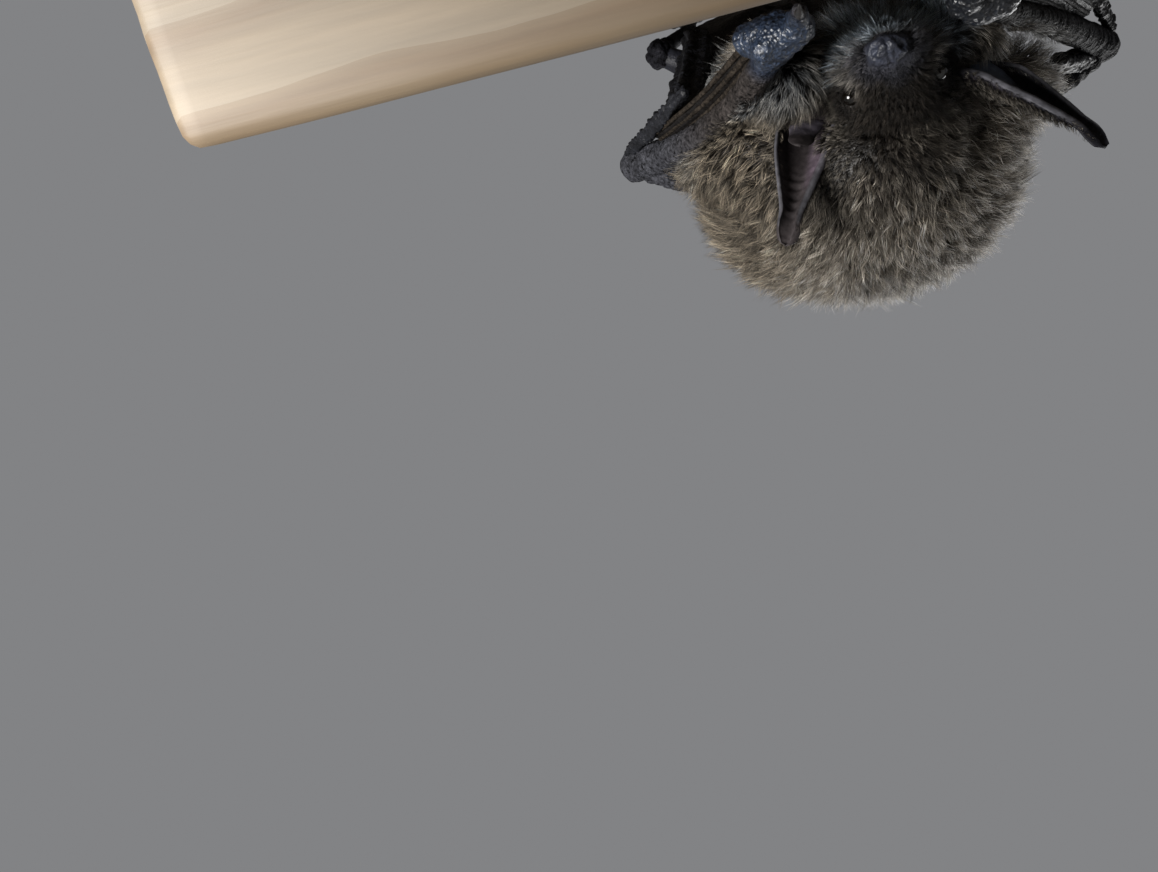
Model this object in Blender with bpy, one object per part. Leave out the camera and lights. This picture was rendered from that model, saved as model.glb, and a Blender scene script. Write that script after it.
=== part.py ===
"""A life-size brown bat roosting head down on a cut length of joist, held up by a display stand.

Run it in Blender 4.5. Lengths are written in millimetres and made into metres as they are used.
The bat's places are (x, off, up): x towards its left, off the joist's face, and up from its nose.
"""

import math

import bmesh
import bpy
from mathutils import Matrix, Vector

MM = 0.001
GAP = 0.3  # between two pieces that touch
LEFT, RIGHT = 1, -1
SIDE_NAMES = {LEFT: "left", RIGHT: "right"}

# The stand and the joist
BASE_SIZE = (130.0, 112.0, 8.0)
BASE_BEVEL = 1.2
NOSE_HEIGHT = 128.0
JOIST_FACE_Y = -6.0
JOIST_SIZE = (112.0, 38.0, 140.0)
JOIST_BELOW_NOSE = 24.0
JOIST_BEVEL = 1.0
ROD_RADIUS = 3.0
ROD_X = 32.0
COLLAR_RADIUS = 6.5
COLLAR_HEIGHT = 3.0

# The bat's own joints and landmarks, as (x, off, up) for the left side. Its arms differ a little.
SHOULDER = (8.0, 19.5, 18.0)
ELBOW = {LEFT: (27.0, 16.4, 37.0), RIGHT: (30.2, 15.2, 36.6)}
WRIST = {LEFT: (8.8, 3.8, -2.0), RIGHT: (8.2, 4.8, -2.6)}
FOREARM_BOW = 0.9  # how far the forearm's middle bends in towards the body
ARM_SAG = {LEFT: 1.8, RIGHT: -1.2}  # how far it bends away from the joist
ARM_SIZE = {LEFT: 0.98, RIGHT: 0.78}
HIP = (6.5, 14.5, 62.0)
KNEE = (22.8, 5.0, 66.0)
ANKLE = (18.0, 3.2, 83.0)
TAIL_ROOT = (0.0, 12.5, 70.0)
TAIL_TIP = (0.0, 1.6, 110.0)

# The head's own frame: it hangs 25 degrees in towards the joist, turned 8 degrees to its left.
# Places in it are (behind the nose, above it, out from the middle).
NOSE_X, NOSE_OFF = -0.65, 6.6
HEAD_TILT = math.radians(25.0)
HEAD_TURN = math.radians(8.0)
EYE_RADIUS = 0.88
EYE_PLACE = (7.3, 1.0, 4.1)
SOCKET_RADIUS = 1.8
SOCKET_PLACE = (7.3, 1.0, 5.7)
EAR_ROOT = (12.5, 1.0, 9.2)
EAR_LENGTH = 16.3
EAR_BELOW_ROOT = 0.14  # the share of the ear's length that is sunk in the head
EAR_THICKNESS = 0.7
EAR_ALONG = {LEFT: (0.315, -0.657, -0.685), RIGHT: (-0.515, -0.487, -0.706)}
EAR_FACING = {LEFT: (-0.083, 0.70, -0.709), RIGHT: (-0.37, 0.83, -0.30)}
TRAGUS_ROOT = (13.0, 0.7, 9.1)
TRAGUS_ALONG = {LEFT: (0.257, -0.245, -0.935), RIGHT: (-0.427, -0.624, -0.655)}
TRAGUS_LENGTH = 5.2

# Stations of the furred body: (off, up, half width, half depth)
TRUNK_STATIONS = (
    (18.0, 11.0, 9.0, 7.5),
    (19.5, 16.0, 13.5, 11.0),
    (21.5, 23.0, 17.5, 14.5),
    (23.0, 31.0, 20.0, 16.2),
    (23.6, 39.0, 21.2, 16.8),
    (23.0, 47.0, 20.4, 16.2),
    (21.2, 54.5, 18.4, 14.8),
    (18.4, 61.5, 14.6, 12.0),
    (15.4, 67.5, 10.2, 8.8),
    (13.0, 72.0, 6.0, 5.4),
)
# Stations of the furred head: (behind the nose, above it, half width, half height)
HEAD_STATIONS = (
    (0.25, -0.2, 1.5, 1.2),
    (1.2, -0.7, 2.3, 2.25),
    (2.6, -1.4, 3.0, 3.15),
    (4.4, -1.75, 4.4, 4.25),
    (6.2, -1.5, 5.65, 5.1),
    (8.0, -1.0, 6.8, 5.85),
    (10.2, -0.45, 7.6, 6.7),
    (13.0, 0.2, 8.2, 7.5),
    (16.0, 0.5, 8.7, 8.1),
    (19.5, 0.55, 9.3, 8.45),
    (23.0, 0.55, 9.7, 8.6),
)
NECK_FRONT, NECK_BACK = 17.6, 22.4  # the neck's two cuts, behind the nose
NECK_WIDTH = 22.0
JAW_WIDTH = 15.0
MOUTH_DROP, MOUTH_FRONT, MOUTH_BACK = -1.7, 0.9, 9.4  # the jaw's cut, in the head's frame
# The pinna from base to tip: (share of its length, half width, depth of its hollow,
# how far round its back edge curls, and its front edge, in degrees)
EAR_STATIONS = (
    (0.0, 2.4, 2.2, 118.0, 84.0),
    (0.14, 2.75, 2.3, 111.0, 80.0),
    (0.27, 2.75, 2.2, 105.0, 77.0),
    (0.4, 2.45, 1.9, 97.0, 73.0),
    (0.52, 2.07, 1.55, 88.0, 69.0),
    (0.64, 1.54, 1.1, 79.0, 65.0),
    (0.75, 1.1, 0.7, 70.0, 60.0),
    (0.86, 1.04, 0.53, 62.0, 56.0),
    (0.95, 0.86, 0.44, 56.0, 53.0),
    (1.0, 0.3, 0.4, 52.0, 52.0),
)
# The long bones of the folded fingers: (share of the forearm, beside it, bow), from wrist to end
FINGER_LANES = {
    "finger_5": ((0.07, 2.1, 0.6), (0.40, 2.3, 1.3), (0.76, 2.5, 1.6)),
    "finger_4": ((0.06, 2.9, 0.0), (0.40, 3.0, 0.5), (0.76, 3.2, 0.8)),
    "finger_3": ((0.05, 3.6, -0.7), (0.40, 3.6, -0.35), (0.76, 3.6, -0.15)),
}

BODY_VOXEL = 0.9
BODY_SMOOTHINGS = 8
BODY_TRIANGLES = 1500

COLOURS = {
    "fur": ((0.085, 0.066, 0.048, 1.0), 0.95, 0.0),
    "face_skin": ((0.030, 0.026, 0.029, 1.0), 0.6, 0.0),
    "ear_skin": ((0.040, 0.034, 0.037, 1.0), 0.55, 0.0),
    "eye": ((0.004, 0.004, 0.004, 1.0), 0.08, 0.0),
    "limb_skin": ((0.040, 0.037, 0.038, 1.0), 0.6, 0.0),
    "wing_membrane": ((0.022, 0.020, 0.021, 1.0), 0.5, 0.0),
    "claw": ((0.055, 0.043, 0.034, 1.0), 0.35, 0.0),
    "joist_wood": ((0.50, 0.30, 0.14, 1.0), 0.7, 0.0),
    "stand_wood": ((0.055, 0.040, 0.030, 1.0), 0.4, 0.0),
    "stand_steel": ((0.62, 0.62, 0.64, 1.0), 0.3, 1.0),
}


# Places and curves


def place(x, off, up):
    """A point of the bat's own frame, in millimetres of the model's frame."""
    return Vector((x, JOIST_FACE_Y - off, NOSE_HEIGHT + up))


def sided(point, side):
    return place(point[0] * side, point[1], point[2])


AHEAD = Vector((0.0, math.sin(HEAD_TILT), -math.cos(HEAD_TILT)))
SIDEWAYS = Vector((1.0, 0.0, 0.0))
FORWARD = AHEAD * math.cos(HEAD_TURN) + SIDEWAYS * math.sin(HEAD_TURN)
HEAD_LEFT = SIDEWAYS * math.cos(HEAD_TURN) - AHEAD * math.sin(HEAD_TURN)
HEAD_UP = Vector((0.0, -math.cos(HEAD_TILT), -math.sin(HEAD_TILT)))
NOSE = place(NOSE_X, NOSE_OFF, 0.0)


def head_point(behind, above, out):
    """A point of the head's frame, in millimetres of the model's frame."""
    return NOSE - FORWARD * behind + HEAD_UP * above + HEAD_LEFT * out


def spline(points, count):
    """count points evenly along the smooth curve through the given points or lists of numbers."""
    points = [Vector(p) for p in points]
    ends = [points[0] * 2 - points[1], *points, points[-1] * 2 - points[-2]]
    found = []
    for i in range(count):
        t = i * (len(points) - 1) / (count - 1)
        k = min(int(t), len(points) - 2)
        t -= k
        a, b, c, d = ends[k : k + 4]
        found.append(
            0.5 * (2 * b + (c - a) * t + (2 * a - 5 * b + 4 * c - d) * t**2 + (3 * b - a - 3 * c + d) * t**3)
        )
    return found


def frames_along(path, side_hint):
    """(across, over) directions at each point of the path, both square to it."""
    found = []
    for i in range(len(path)):
        ahead = (path[min(i + 1, len(path) - 1)] - path[max(i - 1, 0)]).normalized()
        over = ahead.cross(Vector(side_hint)).normalized()
        found.append((over.cross(ahead).normalized(), over))
    return found


# Mesh building


def closed_rings(rings):
    """A closed mesh through rings of points, each end closed by a fan."""
    mesh = bmesh.new()
    made = [[mesh.verts.new(p * MM) for p in ring] for ring in rings]
    sides = len(rings[0])
    for first, second in zip(made, made[1:]):
        for k in range(sides):
            following = (k + 1) % sides
            mesh.faces.new((first[k], first[following], second[following], second[k]))
    for ring in (made[0], made[-1]):
        middle = mesh.verts.new(sum((v.co for v in ring), Vector()) / sides)
        for k in range(sides):
            mesh.faces.new((ring[k], ring[(k + 1) % sides], middle))
    bmesh.ops.recalc_face_normals(mesh, faces=mesh.faces)
    return mesh


def tube(path, widths, depths, sides, side_hint=(1, 0, 0), pleats=0, pleat_depth=0.0, round_ends=True):
    """A closed tube of elliptical section along a path, with rounded ends and, if asked, pleats."""
    rings = []
    directions = frames_along(path, side_hint)
    for i, (point, (across, over)) in enumerate(zip(path, directions)):
        ring = []
        for k in range(sides):
            angle = 2 * math.pi * k / sides
            swell = 1 + pleat_depth * math.cos(pleats * angle + 0.9 * i)
            wide, deep = widths[i] * swell * math.cos(angle), depths[i] * swell * math.sin(angle)
            ring.append(point + across * wide + over * deep)
        rings.append(ring)
    if round_ends:
        for at, inner in ((0, 1), (-1, -2)):
            out = (path[at] - path[inner]).normalized()
            reach = 0.5 * min(widths[at], depths[at])
            cap = [path[at] + (p - path[at]) * 0.62 + out * reach for p in rings[at]]
            rings.insert(0 if at == 0 else len(rings), cap)
    return closed_rings(rings)


def tapered(start, end, count):
    return [start + (end - start) * i / (count - 1) for i in range(count)]


def ball(centre, radii, segments, rings):
    mesh = bmesh.new()
    bmesh.ops.create_uvsphere(mesh, u_segments=segments, v_segments=rings, radius=1.0)
    scale = Matrix.Diagonal((radii[0] * MM, radii[1] * MM, radii[2] * MM, 1.0))
    bmesh.ops.transform(mesh, matrix=Matrix.Translation(centre * MM) @ scale, verts=mesh.verts)
    return mesh


def block(low, high):
    mesh = bmesh.new()
    bmesh.ops.create_cube(mesh, size=1.0)
    size = Vector(high) - Vector(low)
    centre = (Vector(high) + Vector(low)) / 2
    matrix = Matrix.Translation(centre * MM) @ Matrix.Diagonal((*(size * MM), 1.0))
    bmesh.ops.transform(mesh, matrix=matrix, verts=mesh.verts)
    return mesh


def sheet(grid, thickness):
    """A closed sheet of the given thickness about a grid of points."""
    rows, columns = len(grid), len(grid[0])
    mesh = bmesh.new()
    layers = []
    for offset in (thickness / 2, -thickness / 2):
        layer = []
        for i in range(rows):
            for j in range(columns):
                along = grid[min(i + 1, rows - 1)][j] - grid[max(i - 1, 0)][j]
                across = grid[i][min(j + 1, columns - 1)] - grid[i][max(j - 1, 0)]
                normal = along.cross(across).normalized()
                layer.append(mesh.verts.new((grid[i][j] + normal * offset) * MM))
        layers.append(layer)
    for layer in layers:
        for i in range(rows - 1):
            for j in range(columns - 1):
                k = i * columns + j
                mesh.faces.new((layer[k], layer[k + 1], layer[k + columns + 1], layer[k + columns]))
    top_edge = [(0, j) for j in range(columns)]
    right_edge = [(i, columns - 1) for i in range(1, rows)]
    bottom_edge = [(rows - 1, j) for j in range(columns - 2, -1, -1)]
    left_edge = [(i, 0) for i in range(rows - 2, 0, -1)]
    border = [i * columns + j for i, j in top_edge + right_edge + bottom_edge + left_edge]
    for a, b in zip(border, border[1:] + border[:1]):
        mesh.faces.new((layers[0][a], layers[0][b], layers[1][b], layers[1][a]))
    bmesh.ops.recalc_face_normals(mesh, faces=mesh.faces)
    return mesh


# Objects


def make_material(name):
    colour, roughness, metallic = COLOURS[name]
    material = bpy.data.materials.new(name)
    material.use_nodes = True
    shader = material.node_tree.nodes["Principled BSDF"]
    shader.inputs["Base Color"].default_value = colour
    shader.inputs["Roughness"].default_value = roughness
    shader.inputs["Metallic"].default_value = metallic
    return material


def make_object(name, mesh, material=None):
    """An object of this mesh. One with no material is a guide, which isn't part of the model."""
    data = bpy.data.meshes.new(name)
    mesh.to_mesh(data)
    mesh.free()
    data.shade_smooth()
    made = bpy.data.objects.new(name, data)
    bpy.context.scene.collection.objects.link(made)
    if material is None:
        made.hide_render = True
        made.display_type = "WIRE"
    else:
        data.materials.append(material)
    return made


def settle(obj):
    """Applies the object's modifiers."""
    graph = bpy.context.evaluated_depsgraph_get()
    data = bpy.data.meshes.new_from_object(obj.evaluated_get(graph))
    obj.modifiers.clear()
    obj.data = data
    return obj


def copy_of(obj, name, material=None):
    mesh = bmesh.new()
    mesh.from_mesh(obj.data)
    return make_object(name, mesh, material)


def add_clearance(obj, by=GAP):
    """A guide of the same shape, larger all over by a gap's width, that cuts the piece's neighbours."""
    guide = copy_of(obj, obj.name + "_clearance")
    mesh = bmesh.new()
    mesh.from_mesh(guide.data)
    bmesh.ops.triangulate(mesh, faces=mesh.faces)
    mesh.normal_update()
    moves = [(vertex, vertex.normal * by * MM) for vertex in mesh.verts]
    for vertex, move in moves:
        vertex.co += move
    mesh.to_mesh(guide.data)
    mesh.free()


def make_piece(name, mesh, material):
    piece = make_object(name, mesh, material)
    add_clearance(piece)
    return piece


def combine(obj, other, operation):
    modifier = obj.modifiers.new(operation.lower(), "BOOLEAN")
    modifier.operation = operation
    modifier.object = other
    return settle(obj)


def keep_largest(obj):
    """Drops the loose crumbs that a cut can leave beside the piece itself."""
    mesh = bmesh.new()
    mesh.from_mesh(obj.data)
    left = set(mesh.verts)
    islands = []
    while left:
        reached, waiting = set(), [next(iter(left))]
        while waiting:
            vertex = waiting.pop()
            if vertex in reached:
                continue
            reached.add(vertex)
            waiting += [edge.other_vert(vertex) for edge in vertex.link_edges]
        islands.append(reached)
        left -= reached
    largest = max(islands, key=len)
    bmesh.ops.delete(mesh, geom=[v for v in mesh.verts if v not in largest], context="VERTS")
    mesh.to_mesh(obj.data)
    mesh.free()
    return obj


def cut_clear(obj, *neighbours):
    """Cuts from a piece whatever comes within a gap's width of the pieces of these names."""
    for neighbour in neighbours:
        combine(obj, bpy.data.objects[neighbour + "_clearance"], "DIFFERENCE")
        keep_largest(obj)


def fuse(obj, voxel, smoothings, triangles):
    """Makes one skin of overlapping closed shapes."""
    remesh = obj.modifiers.new("fuse", "REMESH")
    remesh.mode = "VOXEL"
    remesh.voxel_size = voxel * MM
    smooth = obj.modifiers.new("soften", "SMOOTH")
    smooth.factor = 0.5
    smooth.iterations = smoothings
    settle(obj)
    thin = obj.modifiers.new("thin_out", "DECIMATE")
    thin.ratio = min(1.0, triangles / (2 * len(obj.data.polygons)))
    settle(obj)
    return keep_largest(obj)


def joined(name, meshes):
    """One guide that holds several meshes."""
    whole = bmesh.new()
    for mesh in meshes:
        data = bpy.data.meshes.new("part_of_" + name)
        mesh.to_mesh(data)
        mesh.free()
        whole.from_mesh(data)
        bpy.data.meshes.remove(data)
    return make_object(name, whole)


# The furred body, made whole and parted with thin cuts


def trunk_mesh():
    rows = spline([(off, up, 0.0) for off, up, _, _ in TRUNK_STATIONS], 24)
    sizes = spline([(wide, deep, 0.0) for _, _, wide, deep in TRUNK_STATIONS], 24)
    path = [place(0.0, off, up) for off, up, _ in rows]
    return tube(path, [s[0] for s in sizes], [s[1] for s in sizes], 32)


def head_mesh():
    rows = spline([(behind, above, 0.0) for behind, above, _, _ in HEAD_STATIONS], 24)
    sizes = spline([(wide, tall, 0.0) for _, _, wide, tall in HEAD_STATIONS], 24)
    path = [head_point(behind, above, 0.0) for behind, above, _ in rows]
    return tube(path, [s[0] for s in sizes], [s[1] for s in sizes], 28, side_hint=HEAD_LEFT)


def limb_mesh(points, radii, count, sides, flatten=1.0):
    """A tapering limb along the smooth curve through these points."""
    path = spline(points, count)
    sizes = [v[0] for v in spline([(r, 0.0, 0.0) for r in radii], count)]
    return tube(path, sizes, [r * flatten for r in sizes], sides, side_hint=(0.3, 0.2, 0.9))


def body_guide():
    """Trunk, neck with its full sides, head, flanks and the furred shoulders as one skin."""
    throat = ball(place(NOSE_X, 10.4, 18.0), (8.6, 7.4, 10.0), 16, 12)
    meshes = [trunk_mesh(), head_mesh(), throat]
    for side in (LEFT, RIGHT):
        shoulder = [SHOULDER, (14.0, 15.0, 21.0), (20.0, 17.2, 28.5)]
        meshes.append(limb_mesh([sided(p, side) for p in shoulder], (7.5, 6.4, 3.4), 8, 16))
        meshes.append(ball(sided((8.5, 7.8, 12.5), side), (5.6, 5.4, 7.0), 16, 12))
        meshes.append(ball(sided((11.5, 12.0, 45.0), side), (6.5, 6.3, 15.0), 16, 12))
    guide = fuse(joined("body", meshes), BODY_VOXEL, BODY_SMOOTHINGS, BODY_TRIANGLES)
    add_clearance(guide)
    return guide


def head_aligned_block(name, behind, above, half_width):
    """A guide box square to the head, between two distances behind the nose and two above it."""
    low, high = (-half_width, -above[1], -behind[1]), (half_width, -above[0], -behind[0])
    mesh = block(low, high)
    turn = Matrix((HEAD_LEFT, -HEAD_UP, FORWARD)).transposed().to_4x4()
    bmesh.ops.transform(mesh, matrix=Matrix.Translation(NOSE * MM) @ turn, verts=mesh.verts)
    bmesh.ops.recalc_face_normals(mesh, faces=mesh.faces)
    return make_object(name, mesh)


def body_pieces(skin_of):
    """Head, jaw, neck and trunk, parted from the one skin."""
    guide = body_guide()
    half, tall = GAP / 2, (-60.0, 60.0)
    front = head_aligned_block("front_of_neck", (-20.0, NECK_FRONT - half), tall, NECK_WIDTH / 2)
    middle = head_aligned_block("neck_slab", (NECK_FRONT + half, NECK_BACK - half), tall, NECK_WIDTH / 2)
    room = head_aligned_block("head_and_neck", (-20.0, NECK_BACK + half), tall, NECK_WIDTH / 2 + GAP)
    jaw_zone = head_aligned_block(
        "jaw_zone", (MOUTH_FRONT, MOUTH_BACK), (-20.0, MOUTH_DROP), JAW_WIDTH / 2
    )
    jaw_space = head_aligned_block(
        "jaw_space", (-20.0, MOUTH_BACK + GAP), (-20.0, MOUTH_DROP + GAP), JAW_WIDTH / 2 + GAP
    )
    zones = (("head", front, "INTERSECT"), ("neck", middle, "INTERSECT"), ("trunk", room, "DIFFERENCE"))
    for name, zone, operation in zones:
        piece = copy_of(guide, name, skin_of["fur"])
        keep_largest(combine(piece, zone, operation))
    head = bpy.data.objects["head"]
    jaw = copy_of(head, "lower_jaw", skin_of["face_skin"])
    keep_largest(combine(jaw, jaw_zone, "INTERSECT"))
    keep_largest(combine(head, jaw_space, "DIFFERENCE"))
    behind, above, out = SOCKET_PLACE
    for side in (LEFT, RIGHT):
        socket = ball(head_point(behind, above, out * side), [SOCKET_RADIUS] * 3, 10, 7)
        combine(head, make_object("socket_" + SIDE_NAMES[side], socket), "DIFFERENCE")


# The head's own parts


def ear_frame(side):
    """(root, along, across, facing) of an ear: facing is the way its hollow looks."""
    root = head_point(EAR_ROOT[0], EAR_ROOT[1], EAR_ROOT[2] * side)
    along = Vector(EAR_ALONG[side]).normalized()
    facing = Vector(EAR_FACING[side])
    facing = (facing - along * facing.dot(along)).normalized()
    return root, along, along.cross(facing) * side, facing


def ear_grid(side, columns=7):
    """Points of the pinna's middle surface: a cupped blade that narrows to a round tip."""
    root, along, across, facing = ear_frame(side)
    grid = []
    for share, half_width, depth, back_curl, front_curl in EAR_STATIONS:
        sunk = 3.4 * max(0.0, (0.24 - share) / 0.24) ** 2
        middle = root + along * (EAR_LENGTH * (share - EAR_BELOW_ROOT)) - HEAD_LEFT * (side * sunk)
        lean = 0.7 * max(0.0, (share - 0.76) / 0.24) ** 2
        row = []
        for j in range(columns):
            u = 2 * j / (columns - 1) - 1
            curl = math.radians(back_curl if u > 0 else front_curl)
            sideways = half_width * math.sin(curl * u) / math.sin(min(curl, math.pi / 2))
            forward = depth * ((1 - math.cos(curl * u)) / (1 - math.cos(curl)) - 0.55) - lean
            row.append(middle + across * sideways + facing * forward)
        grid.append(row)
    return grid


def ear(side, skin_of):
    make_piece("ear_" + SIDE_NAMES[side], sheet(ear_grid(side), EAR_THICKNESS), skin_of["ear_skin"])


def tragus(side, skin_of):
    """The broad blunt lobe that stands in front of the ear's opening."""
    across = ear_frame(side)[2]
    way = Vector(TRAGUS_ALONG[side]).normalized()
    root = head_point(TRAGUS_ROOT[0], TRAGUS_ROOT[1], TRAGUS_ROOT[2] * side)
    path = spline([root - way * 1.6, root + way * 2.2 + across * 0.15, root + way * TRAGUS_LENGTH], 6)
    mesh = tube(path, [1.75, 1.65, 1.55, 1.4, 1.25, 0.75], [0.38] * 6, 8, side_hint=across)
    make_piece("tragus_" + SIDE_NAMES[side], mesh, skin_of["ear_skin"])


def eye(side, skin_of):
    behind, above, out = EYE_PLACE
    centre = head_point(behind, above, out * side)
    make_piece("eye_" + SIDE_NAMES[side], ball(centre, [EYE_RADIUS] * 3, 9, 6), skin_of["eye"])


# The wings


def along_arm(side, share, beside=0.0, bow=0.0):
    """A point between wrist (0) and elbow (1), moved off the forearm's line.

    beside is towards the joist and outwards, where the folded fingers lie. bow is back towards the body.
    """
    start, end = sided(WRIST[side], side), sided(ELBOW[side], side)
    out = Vector((0.42 * side, 0.91, 0.0))
    inward = Vector((-0.75 * side, -0.35, 0.55))
    sag = ARM_SAG[side] * math.sin(math.pi * share)
    return start.lerp(end, share) + out * (beside - sag) + inward * bow


def upper_arm(side, skin_of):
    points = [sided((15.0, 18.6, 25.6), side), sided((20.8, 18.0, 31.4), side), sided(ELBOW[side], side)]
    mesh = limb_mesh(points, (2.6, 2.5, 1.8), 6, 8)
    make_piece("upper_arm_" + SIDE_NAMES[side], mesh, skin_of["limb_skin"])


def forearm(side, skin_of):
    bow = 0.9 * FOREARM_BOW
    points = [along_arm(side, 1.01), along_arm(side, 0.66, bow=bow)]
    points += [along_arm(side, 0.33, bow=bow), along_arm(side, 0.0)]
    radii = [radius * ARM_SIZE[side] for radius in (2.3, 2.1, 1.7, 1.5)]
    make_piece("forearm_" + SIDE_NAMES[side], limb_mesh(points, radii, 8, 8), skin_of["limb_skin"])


def wrist(side, skin_of):
    """The broad knuckly pad that the folded wing stands on."""
    x, off, up = WRIST[side]
    points = [(x + 2.3, off - 0.9, up - 0.2), (x + 0.2, off - 0.6, up - 1.8), (x - 1.6, off - 0.9, up - 3.0)]
    mesh = limb_mesh([sided(p, side) for p in points], (1.75, 2.3, 1.65), 6, 8)
    make_piece("wrist_" + SIDE_NAMES[side], mesh, skin_of["limb_skin"])


def thumb(side, skin_of):
    x, off, up = WRIST[side]
    points = [(x - 1.5, off - 0.9, up - 3.2), (x - 1.7, off - 2.0, up - 6.0), (x - 1.6, off - 2.5, up - 8.6)]
    mesh = limb_mesh([sided(p, side) for p in points], (1.25, 0.95, 0.65), 4, 6)
    make_piece("thumb_" + SIDE_NAMES[side], mesh, skin_of["limb_skin"])


def thumb_claw(side, skin_of):
    x, off, up = WRIST[side]
    points = [(x - 1.6, off - 2.4, up - 8.6), (x - 1.5, off - 2.3, up - 10.2), (x - 1.5, 0.9, up - 11.3)]
    mesh = limb_mesh([sided(p, side) for p in points], (0.5, 0.4, 0.25), 5, 6)
    make_piece("thumb_claw_" + SIDE_NAMES[side], mesh, skin_of["claw"])


def fingers(side, skin_of):
    """The long bones of fingers 3 to 5, folded against the forearm."""
    for name, lane in FINGER_LANES.items():
        mesh = limb_mesh([along_arm(side, *point) for point in lane], (0.42, 0.36, 0.4), 6, 6)
        make_piece(name + "_" + SIDE_NAMES[side], mesh, skin_of["limb_skin"])


def wing_folds(side, skin_of):
    """The wing skin between the fingers, crumpled along the outside of the hand."""
    course = [along_arm(side, 0.46, 4.9, -0.9), along_arm(side, 0.72, 4.7, -0.9), along_arm(side, 0.96, 3.0, -0.8)]
    path = spline(course, 8)
    widths = [0.5 + 0.4 * math.sin(math.pi * (0.12 + 0.76 * i / 7)) for i in range(8)]
    mesh = tube(path, widths, widths, 8, (0.3, 0.2, 0.9), pleats=4, pleat_depth=0.12)
    make_piece("wing_folds_" + SIDE_NAMES[side], mesh, skin_of["wing_membrane"])


def wing_membrane(side, skin_of):
    """The wing skin between arm, flank and ankle, gathered into a pleated band."""
    points = [(19.6, 9.6, 25.0), (18.9, 8.9, 33.0), (17.6, 6.6, 44.0), (16.6, 4.2, 54.0), (17.4, 3.4, 63.5)]
    path = spline([sided(p, side) for p in points], 10)
    widths = [1.2 + 1.2 * math.sin(math.pi * (0.1 + 0.8 * i / 9)) for i in range(10)]
    depths = [w * 0.62 for w in widths]
    mesh = tube(path, widths, depths, 8, (1, 0, 0), pleats=4, pleat_depth=0.18)
    make_piece("wing_membrane_" + SIDE_NAMES[side], mesh, skin_of["wing_membrane"])


# The legs and tail


def thigh(side, skin_of):
    mesh = limb_mesh([sided(p, side) for p in (HIP, (14.5, 10.4, 64.8), KNEE)], (5.0, 3.6, 2.2), 7, 10)
    make_piece("thigh_" + SIDE_NAMES[side], mesh, skin_of["fur"])


def shin(side, skin_of):
    points = [KNEE, (20.6, 4.0, 74.5), ANKLE]
    mesh = limb_mesh([sided(p, side) for p in points], (1.7, 1.3, 1.1), 6, 8)
    make_piece("shin_" + SIDE_NAMES[side], mesh, skin_of["limb_skin"])


def foot(side, skin_of):
    """The sole and five hooked toes, as one solid."""
    sole = [sided(p, side) for p in (ANKLE, (18.2, 2.6, 86.0), (18.4, 2.0, 89.4))]
    meshes = [limb_mesh(sole, (1.3, 1.5, 1.9), 6, 12, 0.62)]
    for toe in range(5):
        spread = (toe - 2) * 1.05
        root = (18.3 + spread * 0.75, 2.0, 88.6)
        knuckle = (18.5 + spread * 1.25, 2.1, 92.0)
        end = (18.6 + spread * 1.45, 1.5, 94.4)
        claw = (18.6 + spread * 1.5, 0.75, 95.4)
        points = [sided(p, side) for p in (root, knuckle, end, claw)]
        meshes.append(limb_mesh(points, (0.62, 0.56, 0.5, 0.34), 7, 8))
    guide = joined("foot_guide_" + SIDE_NAMES[side], meshes)
    fuse(guide, 0.28, 2, 300)
    add_clearance(copy_of(guide, "foot_" + SIDE_NAMES[side], skin_of["limb_skin"]))


def tail(skin_of):
    points = [TAIL_ROOT, (0.0, 7.8, 80.0), (0.0, 4.0, 93.0), TAIL_TIP]
    mesh = limb_mesh([place(*p) for p in points], (2.6, 1.5, 1.0, 0.6), 9, 7)
    make_piece("tail", mesh, skin_of["limb_skin"])


def tail_membrane(side, skin_of):
    """Half of the web between the legs, from the tail out to the shin and heel."""
    inner_points = [(11.0, 71.5), (7.8, 80.0), (4.0, 93.0), (1.9, 108.0)]
    inner = spline([place(0.0, off, up) for off, up in inner_points], 8)
    outer_points = [(14.5, 9.6, 66.5), (19.2, 5.2, 73.0), (17.4, 3.2, 82.6), (8.0, 2.2, 98.5)]
    outer = spline([sided(p, side) for p in outer_points], 8)
    grid = []
    for i, (a, b) in enumerate(zip(inner, outer)):
        row = []
        for t in tapered(0.0, 1.0, 5):
            ripple = 0.35 * math.sin(2 * math.pi * t * 1.5 + i * 0.5) * math.sin(math.pi * t)
            row.append(a.lerp(b, t) + Vector((0.0, ripple, 0.0)))
        grid.append(row)
    make_piece("tail_membrane_" + SIDE_NAMES[side], sheet(grid, 0.7), skin_of["wing_membrane"])


# The joist and the stand


def bevelled(obj, width):
    bevel = obj.modifiers.new("edges", "BEVEL")
    bevel.width = width * MM
    bevel.segments = 1
    return obj


def joist(skin_of):
    bottom = NOSE_HEIGHT - JOIST_BELOW_NOSE
    low = (-JOIST_SIZE[0] / 2, JOIST_FACE_Y, bottom)
    high = (JOIST_SIZE[0] / 2, JOIST_FACE_Y + JOIST_SIZE[1], bottom + JOIST_SIZE[2])
    return bevelled(make_object("perch_joist", block(low, high), skin_of["joist_wood"]), JOIST_BEVEL)


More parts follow.
